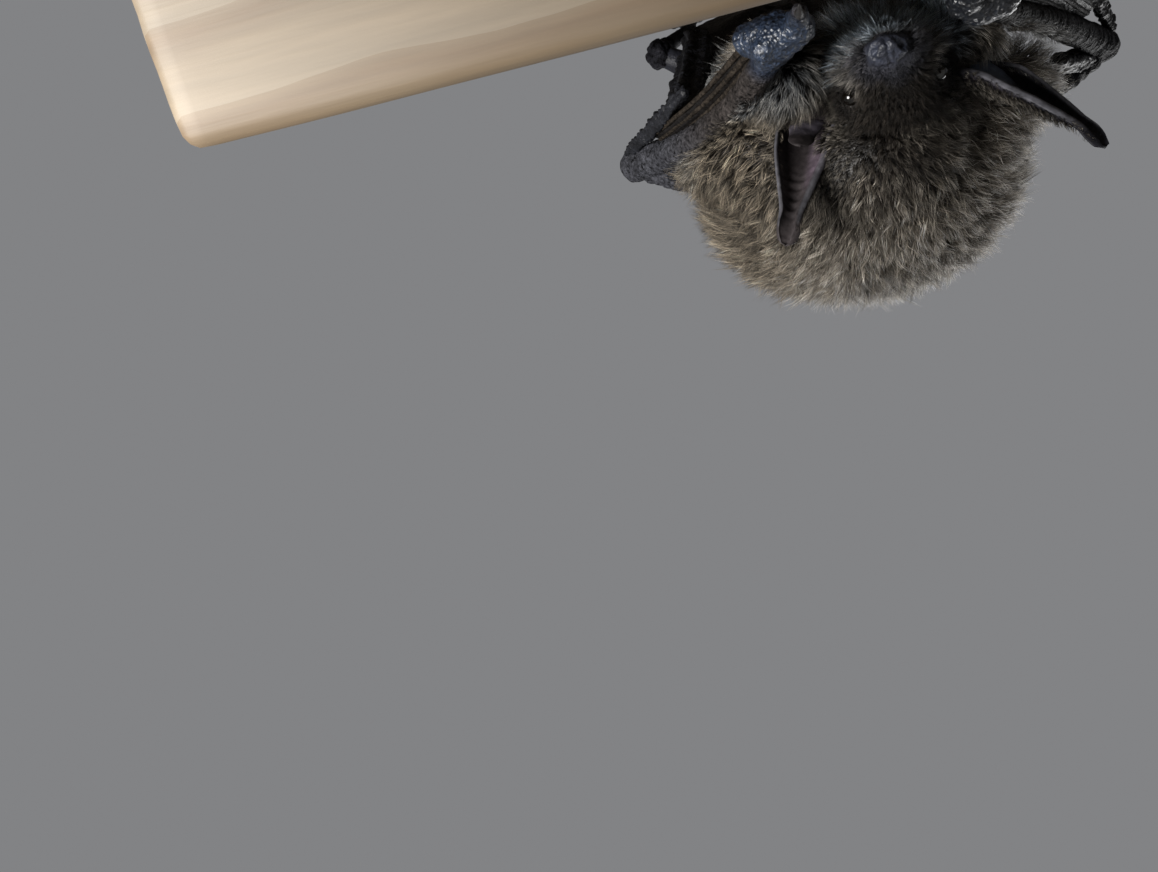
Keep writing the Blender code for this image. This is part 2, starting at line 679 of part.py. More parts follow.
def stand(skin_of):
    half_x, half_y = BASE_SIZE[0] / 2, BASE_SIZE[1] / 2
    base_mesh = block((-half_x, -half_y, 0.0), (half_x, half_y, BASE_SIZE[2]))
    bevelled(make_object("stand_base", base_mesh, skin_of["stand_wood"]), BASE_BEVEL)
    top = NOSE_HEIGHT - JOIST_BELOW_NOSE - GAP
    middle_y = JOIST_FACE_Y + JOIST_SIZE[1] / 2
    for side in (LEFT, RIGHT):
        outline = (
            (COLLAR_RADIUS, BASE_SIZE[2] + GAP),
            (COLLAR_RADIUS, BASE_SIZE[2] + GAP + COLLAR_HEIGHT),
            (ROD_RADIUS, BASE_SIZE[2] + GAP + COLLAR_HEIGHT),
            (ROD_RADIUS, top - COLLAR_HEIGHT),
            (COLLAR_RADIUS, top - COLLAR_HEIGHT),
            (COLLAR_RADIUS, top),
        )
        rings = [
            [
                Vector((
                    ROD_X * side + radius * math.cos(2 * math.pi * k / 12),
                    middle_y + radius * math.sin(2 * math.pi * k / 12),
                    height,
                ))
                for k in range(12)
            ]
            for radius, height in outline
        ]
        rod = make_object("stand_rod_" + SIDE_NAMES[side], closed_rings(rings), skin_of["stand_steel"])
        rod.data.set_sharp_from_angle(angle=math.radians(40.0))


# Each piece is cut clear of the pieces beside it that come before it
CUTS = (
    ("head", "eye"),
    ("ear", "body"),
    ("tragus", "body", "ear"),
    ("head", "forearm"),
    ("lower_jaw", "forearm"),
    ("neck", "forearm"),
    ("trunk", "forearm"),
    ("upper_arm", "body", "forearm"),
    ("wrist", "forearm"),
    ("thumb", "wrist"),
    ("thumb_claw", "thumb"),
    ("finger_3", "forearm", "wrist", "thumb"),
    ("finger_4", "forearm", "wrist", "thumb", "finger_3"),
    ("finger_5", "body", "forearm", "wrist", "thumb", "finger_4"),
    ("wing_folds", "forearm", "finger_3", "finger_4", "finger_5"),
    ("thigh", "body"),
    ("shin", "thigh"),
    ("foot", "shin"),
    ("wing_membrane", "body", "forearm", "finger_3", "finger_4", "finger_5", "wing_folds", "thigh", "shin"),
    ("tail_membrane", "body", "tail", "thigh", "shin", "foot"),
)
MIDDLE_PIECES = ("body", "head", "lower_jaw", "neck", "trunk", "tail")


def bat(skin_of):
    body_pieces(skin_of)
    tail(skin_of)
    makers = (
        eye, ear, tragus, upper_arm, forearm, wrist, thumb, thumb_claw, fingers,
        wing_folds, wing_membrane, thigh, shin, foot, tail_membrane,
    )
    for side in (LEFT, RIGHT):
        for maker in makers:
            maker(side, skin_of)
    cut_clear(bpy.data.objects["tail"], "body")
    for side in (LEFT, RIGHT):
        for names in CUTS:
            piece, *neighbours = [n if n in MIDDLE_PIECES else n + "_" + SIDE_NAMES[side] for n in names]
            cut_clear(bpy.data.objects[piece], *neighbours)


def main():
    for old in list(bpy.data.objects):
        bpy.data.objects.remove(old)
    skin_of = {name: make_material(name) for name in COLOURS}
    bat(skin_of)
    joist(skin_of)
    stand(skin_of)


main()
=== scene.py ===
import math

import bmesh
import bpy
import numpy as np
from mathutils import Matrix, Vector
from mathutils.bvhtree import BVHTree
from mathutils.kdtree import KDTree


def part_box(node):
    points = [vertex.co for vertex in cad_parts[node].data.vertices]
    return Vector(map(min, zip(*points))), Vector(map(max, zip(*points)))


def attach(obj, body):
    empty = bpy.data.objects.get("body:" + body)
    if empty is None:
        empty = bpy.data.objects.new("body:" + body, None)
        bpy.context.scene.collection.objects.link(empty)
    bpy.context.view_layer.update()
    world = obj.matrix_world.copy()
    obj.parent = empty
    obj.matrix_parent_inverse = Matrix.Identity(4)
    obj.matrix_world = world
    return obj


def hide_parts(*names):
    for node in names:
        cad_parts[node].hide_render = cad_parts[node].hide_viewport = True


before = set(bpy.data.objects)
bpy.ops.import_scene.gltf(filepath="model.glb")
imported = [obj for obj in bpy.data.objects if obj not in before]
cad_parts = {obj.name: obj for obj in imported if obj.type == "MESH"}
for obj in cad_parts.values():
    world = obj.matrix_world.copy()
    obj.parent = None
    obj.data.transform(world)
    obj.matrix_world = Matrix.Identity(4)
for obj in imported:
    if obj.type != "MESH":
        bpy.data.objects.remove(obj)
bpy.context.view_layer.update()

# Looks of a life-size brown bat that roosts head down on a cut joist, on a display stand.
# Lengths are in millimetres until a mesh is made. The bat's places are (x, off, up): x towards
# its left, off the joist's face, and up from its nose, as in the solids.

MM = 0.001
LEFT, RIGHT = 1, -1
SIDES = (LEFT, RIGHT)
SIDE_NAMES = {LEFT: "left", RIGHT: "right"}

NOSE_HEIGHT = 128.0
JOIST_FACE_Y = -6.0
ELBOW = {LEFT: (27.0, 16.4, 37.0), RIGHT: (30.2, 15.2, 36.6)}
WRIST = {LEFT: (8.8, 3.8, -2.0), RIGHT: (8.2, 4.8, -2.6)}
FOREARM_BOW = 0.9
HIP = (6.5, 14.5, 62.0)
KNEE = (22.8, 5.0, 66.0)
ANKLE = (18.0, 3.2, 83.0)
ARM_SAG = {LEFT: 1.8, RIGHT: -1.2}
ARM_SIZE = {LEFT: 0.98, RIGHT: 0.78}

# The head's own frame: it hangs 25 degrees in towards the joist, turned 8 degrees to its left.
# Places in it are (behind the nose, above it, out from the middle).
NOSE_X, NOSE_OFF = -0.65, 6.6
HEAD_TILT = math.radians(25.0)
HEAD_TURN = math.radians(8.0)
EYE_PLACE = (7.3, 1.0, 4.1)
EYE_SIZE = 0.88
EAR_ROOT = (12.5, 1.0, 9.2)
EAR_LENGTH = 16.3
EAR_BELOW_ROOT = 0.14  # the share of the ear's length that is sunk in the head
EAR_ALONG = {LEFT: (0.315, -0.657, -0.685), RIGHT: (-0.515, -0.487, -0.706)}
EAR_FACING = {LEFT: (-0.083, 0.70, -0.709), RIGHT: (-0.37, 0.83, -0.30)}
TRAGUS_ROOT = (13.0, 0.7, 9.1)
TRAGUS_ALONG = {LEFT: (0.257, -0.245, -0.935), RIGHT: (-0.427, -0.624, -0.655)}
TRAGUS_LENGTH = 5.2

# How far the skin lies under the coat's tips, and how long its hairs are
TRUNK_COAT = 3.6
COAT_TUFTS, EAR_TUFTS = 129_000, 3_000
ARM_TUFTS = {LEFT: 2_000, RIGHT: 500}
CLUMP_TUFTS = 9  # tufts that lean together
GUARD_SHARE = 0.16  # the share of tufts that are long guard hairs
SHORTEST_TUFT = 0.3  # a tuft cut shorter than this share of itself is dropped
EYE_GAP = 0.15  # between an eye and the nearest tuft
BAKE_PATCH = 0.003  # each tuft's patch in the bake map

# Triangles in each island of the skin, and the most in a piece of the coat
TORSO_TRIANGLES = 60_000
PINNA_TRIANGLES = 12_500
TRAGUS_TRIANGLES = 2_000
ARM_TRIANGLES = 22_000
FINGER_TRIANGLES = 800
FINGER_WEB_TRIANGLES = 2_500
ROLL_TRIANGLES = 4_000
LEG_TRIANGLES = 9_000
TAIL_MEMBRANE_TRIANGLES = 4_500
TAIL_TRIANGLES = 2_500
PIECE_TRIANGLES = 190_000

WRIST_REACH = 5.6  # how far the wrist's pebbled skin goes from its middle
JOIST_ROUNDING = 1.8
JOIST_SPACING = 1.3  # between the points of the joist's surface

# Stations of the furred trunk, to the tips of its coat: (off, up, half width, half depth)
TRUNK_STATIONS = (
    (18.0, 11.0, 9.0, 7.5),
    (19.5, 16.0, 13.5, 11.0),
    (21.5, 23.0, 17.5, 14.5),
    (23.0, 31.0, 20.0, 16.2),
    (23.6, 39.0, 21.2, 16.8),
    (23.0, 47.0, 20.4, 16.2),
    (21.2, 54.5, 18.4, 14.8),
    (18.4, 61.5, 14.6, 12.0),
    (15.4, 67.5, 10.2, 8.8),
    (13.0, 72.0, 6.0, 5.4),
)
# Stations of the head's skin: (behind the nose, above it, half width, half height)
HEAD_STATIONS = (
    (0.10, -0.15, 1.1, 0.7),
    (0.45, -0.2, 1.5, 1.2),
    (1.2, -0.35, 1.85, 1.6),
    (2.6, -0.5, 2.25, 2.0),
    (4.4, -0.45, 2.75, 2.55),
    (6.2, -0.2, 3.95, 3.2),
    (8.0, 0.1, 5.1, 3.85),
    (10.2, 0.4, 5.7, 4.5),
    (13.0, 0.7, 6.2, 5.2),
    (16.0, 0.8, 6.4, 5.6),
    (19.5, 0.7, 6.9, 5.8),
    (23.0, 0.6, 7.2, 5.8),
)
# The pinna from base to tip: (share of its length, half width, depth of its hollow)
EAR_STATIONS = (
    (0.0, 2.4, 2.2),
    (0.14, 2.75, 2.3),
    (0.25, 2.75, 2.2),
    (0.4, 2.45, 1.9),
    (0.6, 1.7, 1.2),
    (0.72, 1.2, 0.8),
    (0.79, 0.98, 0.6),
    (0.88, 1.05, 0.5),
    (1.0, 0.95, 0.4),
)

rng = np.random.default_rng(7)


# ---------------------------------------------------------------- places and numbers


def vec(*values):
    return np.array(values, float)


def place(x, off, up):
    return vec(x, JOIST_FACE_Y - off, NOSE_HEIGHT + up)


def sided(point, side):
    return place(point[0] * side, point[1], point[2])


def unit(v):
    v = np.asarray(v, float)
    return v / np.maximum(np.linalg.norm(v, axis=-1, keepdims=True), 1e-12)


AHEAD = vec(0.0, math.sin(HEAD_TILT), -math.cos(HEAD_TILT))
FORWARD = AHEAD * math.cos(HEAD_TURN) + vec(math.sin(HEAD_TURN), 0.0, 0.0)
HEAD_LEFT = vec(math.cos(HEAD_TURN), 0.0, 0.0) - AHEAD * math.sin(HEAD_TURN)
HEAD_UP = vec(0.0, -math.cos(HEAD_TILT), -math.sin(HEAD_TILT))
NOSE = place(NOSE_X, NOSE_OFF, 0.0)


def head_point(behind, above, out):
    return NOSE - FORWARD * behind + HEAD_UP * above + HEAD_LEFT * out


def in_head(points):
    """(behind, above, out) of points in the head's frame."""
    d = points - NOSE
    return -(d @ FORWARD), d @ HEAD_UP, d @ HEAD_LEFT


def smooth(low, high, value):
    t = np.clip((value - low) / (high - low), 0.0, 1.0)
    return t * t * (3 - 2 * t)


def bump(distance, width):
    return np.exp(-((distance / width) ** 2))


def nearest(points, places):
    """How far each point is from the nearest of some places."""
    return np.min([np.linalg.norm(points - spot, axis=1) for spot in places], axis=0)


def spline(points, count):
    """count points evenly along the smooth curve through rows of numbers."""
    points = np.asarray(points, float)
    ends = np.vstack([2 * points[0] - points[1], points, 2 * points[-1] - points[-2]])
    t = np.linspace(0, len(points) - 1, count)
    k = np.minimum(t.astype(int), len(points) - 2)
    t = (t - k)[:, None]
    a, b, c, d = ends[k], ends[k + 1], ends[k + 2], ends[k + 3]
    return 0.5 * (2 * b + (c - a) * t + (2 * a - 5 * b + 4 * c - d) * t**2 + (3 * b - a - 3 * c + d) * t**3)


LATTICE = np.random.default_rng(11).random((32, 32, 32))


def noise(points, size):
    """Smooth noise of -1 to 1 whose lumps are about size across."""
    p = np.asarray(points, float) / size
    i = np.floor(p).astype(int)
    f = p - i
    f = f * f * (3 - 2 * f)
    total = np.zeros(len(p))
    for corner in range(8):
        o = vec(corner & 1, corner >> 1 & 1, corner >> 2 & 1).astype(int)
        w = np.prod(np.where(o, f, 1 - f), axis=1)
        j = (i + o) & 31
        total += w * LATTICE[j[:, 0], j[:, 1], j[:, 2]]
    return total * 2 - 1


def fractal(points, size, octaves=3):
    return sum(noise(points + 17.0 * k, size / 2**k) / 2**k for k in range(octaves)) / 1.6


# ---------------------------------------------------------------- shapes, as (points, faces)


def triangles_of(shape):
    fans = []
    for face in shape[1]:
        fans += [(face[0], face[k], face[k + 1]) for k in range(1, len(face) - 1)]
    return np.array(fans)


def outward(points, faces):
    """The closed shape with its faces turned outwards."""
    a, b, c = (points[triangles_of((points, faces))[:, k]] for k in range(3))
    if (np.cross(a, b) * c).sum() < 0:
        faces = [tuple(face[::-1]) for face in faces]
    return points, faces


def ring_shape(rings):
    """A closed shape through equal rings of points."""
    count, sides = rings.shape[:2]
    points = np.vstack([rings.reshape(-1, 3), rings[0].mean(0), rings[-1].mean(0)])
    i, k = np.meshgrid(np.arange(count - 1), np.arange(sides), indexing="ij")
    a, b = i * sides + k, i * sides + (k + 1) % sides
    faces = np.stack([a, b, b + sides, a + sides], -1).reshape(-1, 4).tolist()
    k = np.arange(sides)
    first, last = count * sides, count * sides + 1
    top = (count - 1) * sides
    faces += [(int((j + 1) % sides), int(j), first) for j in k]
    faces += [(int(top + j), int(top + (j + 1) % sides), last) for j in k]
    return outward(points, faces)


def frames_along(path, hint):
    ahead = unit(np.gradient(path, axis=0))
    over = unit(np.cross(ahead, hint))
    return unit(np.cross(over, ahead)), over


def tube(path, widths, depths, sides=24, hint=(1.0, 0.0, 0.0), shape=None):
    """A tube of elliptical section with round ends. shape(i, angles) can swell its rings."""
    path = np.asarray(path, float)
    widths, depths = np.broadcast_to(widths, len(path)), np.broadcast_to(depths, len(path))
    across, over = frames_along(path, np.asarray(hint, float))
    angles = 2 * np.pi * np.arange(sides) / sides
    rings = []
    for i in range(len(path)):
        swell = 1.0 if shape is None else shape(i, angles)
        w = (widths[i] * np.cos(angles) * swell)[:, None]
        d = (depths[i] * np.sin(angles) * swell)[:, None]
        rings.append(path[i] + across[i] * w + over[i] * d)
    caps = []
    for at, inner in ((0, 1), (-1, -2)):
        out = unit(path[at] - path[inner]) * min(widths[at], depths[at])
        flat = rings[at] - path[at]
        caps.append([path[at] + flat * math.cos(turn) + out * math.sin(turn) for turn in (0.5, 1.0, 1.35)])
    rings = caps[0][::-1] + rings + caps[1]
    return ring_shape(np.array(rings))


def limb(points, radii, count=40, sides=24, flatten=1.0):
    path = spline(points, count)
    sizes = spline(np.asarray(radii, float)[:, None], count)[:, 0]
    return tube(path, sizes, sizes * flatten, sides, hint=(0.3, 0.2, 0.9))


def ball(centre, radii, turn=None):
    """An ellipsoid; turn's rows are its own axes."""
    mesh = bmesh.new()
    bmesh.ops.create_uvsphere(mesh, u_segments=32, v_segments=20, radius=1.0)
    points = np.array([v.co for v in mesh.verts]) * np.asarray(radii, float)
    faces = [[v.index for v in f.verts] for f in mesh.faces]
    mesh.free()
    if turn is not None:
        points = points @ np.asarray(turn, float)
    return points + centre, faces


def joined(shapes):
    points, faces, start = [], [], 0
    for p, f in shapes:
        points.append(p)
        faces += [[i + start for i in face] for face in f]
        start += len(p)
    return np.vstack(points), faces


def to_mesh(name, shape):
    points, faces = shape
    mesh = bpy.data.meshes.new(name)
    mesh.from_pydata((points * MM).tolist(), [], faces)
    mesh.update()
    return mesh


def from_mesh(mesh):
    points = np.empty(len(mesh.vertices) * 3)
    mesh.vertices.foreach_get("co", points)
    starts = np.empty(len(mesh.polygons), int)
    mesh.polygons.foreach_get("loop_start", starts)
    loops = np.empty(len(mesh.loops), int)
    mesh.loops.foreach_get("vertex_index", loops)
    return points.reshape(-1, 3) / MM, [f.tolist() for f in np.split(loops, starts[1:])]


def normals_of(shape):
    mesh = to_mesh("for_normals", shape)
    found = np.empty(len(mesh.vertices) * 3)
    mesh.vertex_normals.foreach_get("vector", found)
    bpy.data.meshes.remove(mesh)
    return found.reshape(-1, 3)


def link(name, mesh):
    made = bpy.data.objects.new(name, mesh)
    bpy.context.scene.collection.objects.link(made)
    return made


def modified(shape, modifiers):
    """The shape after Blender's modifiers, given as (type, settings)."""
    made = link("being_shaped", to_mesh("being_shaped", shape))
    for kind, settings in modifiers:
        modifier = made.modifiers.new(kind.lower(), kind)
        for key, value in settings.items():
            setattr(modifier, key, value)
    graph = bpy.context.evaluated_depsgraph_get()
    found = from_mesh(made.evaluated_get(graph).to_mesh())
    bpy.data.objects.remove(made)
    return found


def fused(shapes, voxel, smoothings):
    """One skin over overlapping closed shapes."""
    steps = [("REMESH", {"mode": "VOXEL", "voxel_size": voxel * MM})]
    steps.append(("SMOOTH", {"factor": 0.5, "iterations": smoothings}))
    return modified(joined(shapes), steps)


def refined(shape, chosen):
    """Halves the edges between chosen points."""
    mesh = bmesh.new()
    data = to_mesh("being_refined", shape)
    mesh.from_mesh(data)
    mesh.verts.ensure_lookup_table()
    edges = [e for e in mesh.edges if chosen[e.verts[0].index] and chosen[e.verts[1].index]]
    bmesh.ops.subdivide_edges(mesh, edges=edges, cuts=1, use_grid_fill=True)
    bmesh.ops.triangulate(mesh, faces=[f for f in mesh.faces if len(f.verts) > 4])
    mesh.to_mesh(data)
    mesh.free()
    return from_mesh(data)


def thinned(shape, triangles):
    """The shape with about this many triangles, closest together where it bends most."""
    share = min(1.0, triangles / len(triangles_of(shape)))
    return modified(shape, [("TRIANGULATE", {}), ("DECIMATE", {"ratio": share})])


def pushed(shape, amount):
    """The shape with its points moved along their normals."""
    return shape[0] + normals_of(shape) * np.asarray(amount)[:, None], shape[1]


# ---------------------------------------------------------------- trunk and head


def trunk_coat(up):
    """How far the trunk's skin lies under the tips of its coat."""
    return TRUNK_COAT * (0.55 + 0.45 * smooth(11.0, 30.0, up)) * (1 - 0.35 * smooth(58.0, 72.0, up))


def trunk_shape():
    rows = spline(TRUNK_STATIONS, 60)
    path = np.array([place(0.0, off, up) for off, up, _, _ in rows])
    depth = trunk_coat(rows[:, 1])
    return tube(path, rows[:, 2] - depth, rows[:, 3] - depth, 64)


def head_shape():
    rows = spline(HEAD_STATIONS, 70)
    path = np.array([head_point(behind, above, 0.0) for behind, above, _, _ in rows])
    return tube(path, rows[:, 2], rows[:, 3], 56, hint=HEAD_LEFT)


def shoulder_shape(side):
    points = [(8.0, 19.5, 18.0), (13.6, 15.2, 21.0), (19.2, 17.4, 28.0)]
    return limb([sided(p, side) for p in points], (5.4, 4.2, 1.7))


def flank_shape(side):
    return ball(sided((11.5, 12.0, 45.0), side), (3.6, 3.4, 12.5))


def neck_side_shape(side):
    return ball(sided((8.5, 7.8, 12.5), side), (3.2, 3.0, 4.8))


def thigh_shape(side):
    return limb([sided(p, side) for p in (HIP, (14.5, 10.4, 64.8), KNEE)], (3.6, 2.5, 1.5))


def mouth_line(behind):
    """How far above the nose the mouth's line runs."""
    return -1.45 - 0.10 * behind + 0.012 * behind**2


def face_sculpt(points):
    """How far each point of the head's skin stands out, from the shapes of a heavy bare muzzle."""
    b, a, x = in_head(points)
    side = np.abs(x)
    move = 0.60 * bump(np.sqrt((b - 2.7) ** 2 + (a - 0.1) ** 2 + (side - 2.2) ** 2), 1.3)  # glands
    move += 0.25 * bump(np.sqrt((b - 0.3) ** 2 + (a + 0.1) ** 2), 0.9) * bump(x, 1.7)  # nose pad
    move -= 0.20 * bump(b - 1.35 - 0.12 * a + 0.25 * noise(points, 0.9), 0.38) * smooth(-0.9, 0.2, a)
    slant = a + 0.15 - 0.35 * (side - 1.0)
    nostril = np.sqrt(((b - 0.35) / 1.2) ** 2 + (slant / 0.7) ** 2 + (side - 1.0) ** 2)
    move -= 0.60 * bump(nostril, 0.40)
    move += 0.14 * bump(nostril - 0.72, 0.26)
    move -= 0.20 * bump(x, 0.16) * bump(b, 1.0) * smooth(-1.3, 0.2, a)  # groove between the nostrils
    lips = 1 - smooth(7.4, 8.8, b)
    move -= 0.55 * bump(a - mouth_line(b), 0.17) * lips
    move += 0.16 * bump(a - mouth_line(b) - 0.5, 0.35) * lips
    move -= 0.30 * (1 - smooth(-0.25, 0.0, a - mouth_line(b))) * (1 - smooth(5.0, 9.0, b))  # lower jaw
    eye = np.sqrt((b - EYE_PLACE[0]) ** 2 + (a - EYE_PLACE[1]) ** 2 + ((side - EYE_PLACE[2]) * 0.6) ** 2)
    move -= 0.75 * bump(eye, 0.95) + 0.15 * bump(eye, 2.4)
    move += 0.24 * bump(eye - 0.98, 0.28)
    move += 0.30 * noise(points, 1.05) * smooth(7.0, 3.5, b) * smooth(0.2, 1.2, b)
    move += 0.10 * noise(points, 0.4) * smooth(6.0, 3.0, b)
    return move * smooth(12.0, 9.5, b)


TORSO_LIMBS = (shoulder_shape, neck_side_shape, flank_shape, thigh_shape)


def from_knees(points):
    return nearest(points, [sided(KNEE, side) for side in SIDES])


def torso_shape():
    """Trunk, neck, head, shoulders and thighs as one skin, finest over the face."""
    throat = ball(place(NOSE_X, 10.4, 18.0), (6.6, 5.4, 8.0))
    shapes = [trunk_shape(), head_shape(), throat]
    shapes += [make(side) for side in SIDES for make in TORSO_LIMBS]
    shape = fused(shapes, 0.42, 6)
    for reach in (11.0, 10.2):
        b, a, x = in_head(shape[0])
        near = (b < reach) & (np.abs(x) < 8) & (np.abs(a) < 8)
        shape = refined(shape, near)
    return thinned(pushed(shape, face_sculpt(shape[0])), TORSO_TRIANGLES)


# ---------------------------------------------------------------- ears


def ear_frame(side):
    """(root, along, across, facing) of an ear: facing is the way its hollow looks."""
    root = head_point(EAR_ROOT[0], EAR_ROOT[1], EAR_ROOT[2] * side)
    along = unit(EAR_ALONG[side])
    facing = np.array(EAR_FACING[side])
    facing = unit(facing - along * facing.dot(along))
    return root, along, np.cross(along, facing) * side, facing


def ear_surface(side, v, u):
    """The pinna's middle surface at v from base to tip and u from its front rim (-1) to its back rim (1)."""
    root, along, across, facing = ear_frame(side)
    rows = spline(EAR_STATIONS, 200)
    half, depth = np.interp(v, rows[:, 0], rows[:, 1]), np.interp(v, rows[:, 0], rows[:, 2])
    end = np.sqrt(1 - ((v - 0.89) / 0.11).clip(0, 1) ** 2)
    half = half * (0.08 + 0.92 * end)
    back = np.interp(v, [0.0, 0.3, 0.7, 1.0], [118.0, 104.0, 74.0, 52.0])
    front = np.interp(v, [0.0, 0.3, 0.7, 1.0], [84.0, 76.0, 62.0, 52.0])
    reach = np.radians(np.where(u < 0, front, back))
    widest = np.sin(np.minimum(reach, np.pi / 2))
    angle = reach * u
    sideways = half * np.sin(angle) / widest
    forward = depth * ((1 - np.cos(angle)) / (1 - np.cos(reach)) - 0.55)
    ribs = np.sin(v * 2 * np.pi * 13.0 + 1.6 * u**2) * smooth(0.42, 0.55, v) * smooth(0.86, 0.78, v)
    forward = forward + 0.10 * ribs * smooth(-0.75, -0.2, u) * smooth(0.9, 0.5, u)
    forward = forward + 0.22 * bump(u + 0.5, 0.13) * smooth(0.15, 0.3, v) * smooth(0.75, 0.55, v)
    forward = forward + 0.12 * np.sin(2.6 * u + 7.0 * v) * smooth(0.1, 0.4, v)
    forward = forward - 0.7 * smooth(0.76, 1.0, v) ** 2
    point = root + along * (EAR_LENGTH * (v - EAR_BELOW_ROOT))[..., None]
    point = point - HEAD_LEFT * side * (3.4 * ((0.24 - v) / 0.24).clip(0, 1) ** 2)[..., None]
    return point + across * sideways[..., None] + facing * forward[..., None]


def ear_shape(side, rows=130, columns=60):
    """The pinna, fleshy along its straight front rim and thin in the middle."""
    across = np.sin(np.linspace(-1, 1, columns) * np.pi / 2)
    v, u = np.meshgrid(np.linspace(0, 1, rows), across, indexing="ij")
    middle = ear_surface(side, v, u)
    normal = unit(np.cross(np.gradient(middle, axis=0), np.gradient(middle, axis=1)))
    rim = np.sqrt(np.clip(1 - u**2, 0, 1))
    half = 0.15 + 0.24 * bump(u + 0.90, 0.20) + 0.06 * bump(u - 0.95, 0.06)
    half = half + 0.14 * (1 - smooth(0.0, 0.3, v))
    half = half * np.clip(rim * 3.2, 0.02, 1.0) * np.clip((1 - v) * 26, 0.05, 1.0)
    front, back = middle + normal * half[..., None], middle - normal * half[..., None]
    loop = np.concatenate([front, back[:, ::-1]], axis=1)
    shape = ring_shape(loop)
    return pushed(shape, 0.03 * fractal(shape[0], 0.5))


def tragus_shape(side):
    """The broad blunt lobe in front of the ear's opening."""
    across = ear_frame(side)[2]
    way = unit(TRAGUS_ALONG[side])
    root = head_point(TRAGUS_ROOT[0], TRAGUS_ROOT[1], TRAGUS_ROOT[2] * side)
    points = [root - way * 1.6, root + way * 2.2 + across * 0.15, root + way * TRAGUS_LENGTH]
    path = spline(points, 90)
    t = np.linspace(0, 1, 90)
    end = np.sqrt(1 - ((t - 0.74) / 0.26).clip(0, 1) ** 2)
    widths = (1.75 - 0.55 * t) * (0.06 + 0.94 * end)

    def edge(i, angles):
        return 1 + 0.06 * np.sin(2 * angles + i * 0.09)

    shape = tube(path, widths, 0.28 * (0.3 + 0.7 * end) + 0.04 * np.sin(7 * t), 48, hint=across, shape=edge)
    return pushed(shape, 0.05 * fractal(shape[0], 0.8))


# ---------------------------------------------------------------- arms, hands, legs and tail


def along_arm(side, share, beside=0.0, bow=0.0):
    """A point between wrist (0) and elbow (1), moved off the forearm's line as in the solids."""
    start, end = sided(WRIST[side], side), sided(ELBOW[side], side)
    out = vec(0.42 * side, 0.91, 0.0)
    inward = vec(-0.75 * side, -0.35, 0.55)
    beside = beside - ARM_SAG[side] * math.sin(math.pi * share)
    return start + (end - start) * share + out * beside + inward * bow


def wrist_middle(side):
    x, off, up = WRIST[side]
    return sided((x - 0.4, off - 1.0, up - 1.8), side)


def arm_inwards(side):
    """From the forearm towards the coat beside it."""
    return vec(-0.64 * side, -0.75, -0.15)


def arm_shape(side):
    """Upper arm, elbow, forearm, wrist and thumb, with loose folded skin at the elbow."""
    elbow = sided(ELBOW[side], side)
    upper = limb([sided((13.0, 18.8, 24.0), side), sided((20.8, 18.0, 31.4), side), elbow], (2.2, 2.2, 1.6))
    bow = 0.9 * FOREARM_BOW
    stations = ((1.0, 0.0), (0.66, bow), (0.33, bow), (0.0, 0.0))
    points = [along_arm(side, share, bow=bend) for share, bend in stations]
    forearm = limb(points, [radius * ARM_SIZE[side] for radius in (2.15, 1.95, 1.55, 1.4)], 60)
    x, off, up = WRIST[side]
    pad = [(x + 2.3, off - 0.9, up - 0.2), (x + 0.2, off - 0.6, up - 1.8), (x - 1.6, off - 0.9, up - 3.0)]
    thumb = [(x - 1.5, off - 0.9, up - 3.2), (x - 1.7, off - 2.0, up - 6.0), (x - 1.6, off - 2.5, up - 8.6)]
    shapes = [upper, forearm, limb([sided(p, side) for p in pad], (1.6, 2.1, 1.5))]
    shapes.append(limb([sided(p, side) for p in thumb], (1.15, 0.85, 0.62)))
    shapes.append(ball(sided((x - 1.6, off - 1.0, up - 4.0), side), (1.3, 1.2, 1.5)))
    shapes.append(ball(sided((x + 1.2, off, up - 2.6), side), (1.4, 1.2, 1.3)))
    shape = fused(shapes, 0.2, 4)
    points = shape[0]
    near = smooth(WRIST_REACH, 3.2, np.linalg.norm(points - wrist_middle(side), axis=1))
    pebbles = np.abs(noise(points, 0.55)) * 0.26 + 0.12 * noise(points + 5, 1.3)
    reach = np.linalg.norm(points - elbow, axis=1)
    folds = 0.10 * np.sin(reach * 4.2 + 2.2 * noise(points, 1.8)) + 0.10 * np.abs(noise(points, 0.8))
    rings = 0.035 * np.sin(reach * 7.0 + 2.0 * noise(points, 2.5)) * (1 - near)
    crepe = 0.06 * fractal(points, 0.5) + 0.09 * noise(points, 0.9) - 0.08 * np.abs(noise(points + 9, 1.5))
    return pushed(shape, near * pebbles + smooth(12.0, 3.0, reach) * folds + rings + crepe)


# The long bones of fingers 5, 4 and 3: (share of the forearm, beside it, bow)
FINGER_LANES = (
    ((0.07, 1.2, 0.4), (0.40, 1.7, 0.9), (0.76, 1.6, 1.2)),
    ((0.06, 1.7, 0.2), (0.40, 2.2, 0.3), (0.76, 2.0, 0.4)),
    ((0.05, 2.3, 0.0), (0.40, 2.7, -0.3), (0.76, 2.4, -0.4)),
)


def finger_shapes(side):
    shapes = []
    for lane in FINGER_LANES:
        path = [along_arm(side, *point) for point in lane]
        shapes.append(limb(path, (0.40, 0.27, 0.32), 60, 14))
    return shapes


def sheet_shape(grid, thickness):
    """A thin closed sheet about a grid of points."""
    normal = unit(np.cross(np.gradient(grid, axis=0), np.gradient(grid, axis=1)))
    across = np.linspace(-1, 1, grid.shape[1])
    half = thickness / 2 * np.clip(np.sqrt(1 - across**2) * 2.5, 0.05, 1.0)
    offset = normal * half[None, :, None]
    return ring_shape(np.concatenate([grid + offset, (grid - offset)[:, ::-1]], axis=1))


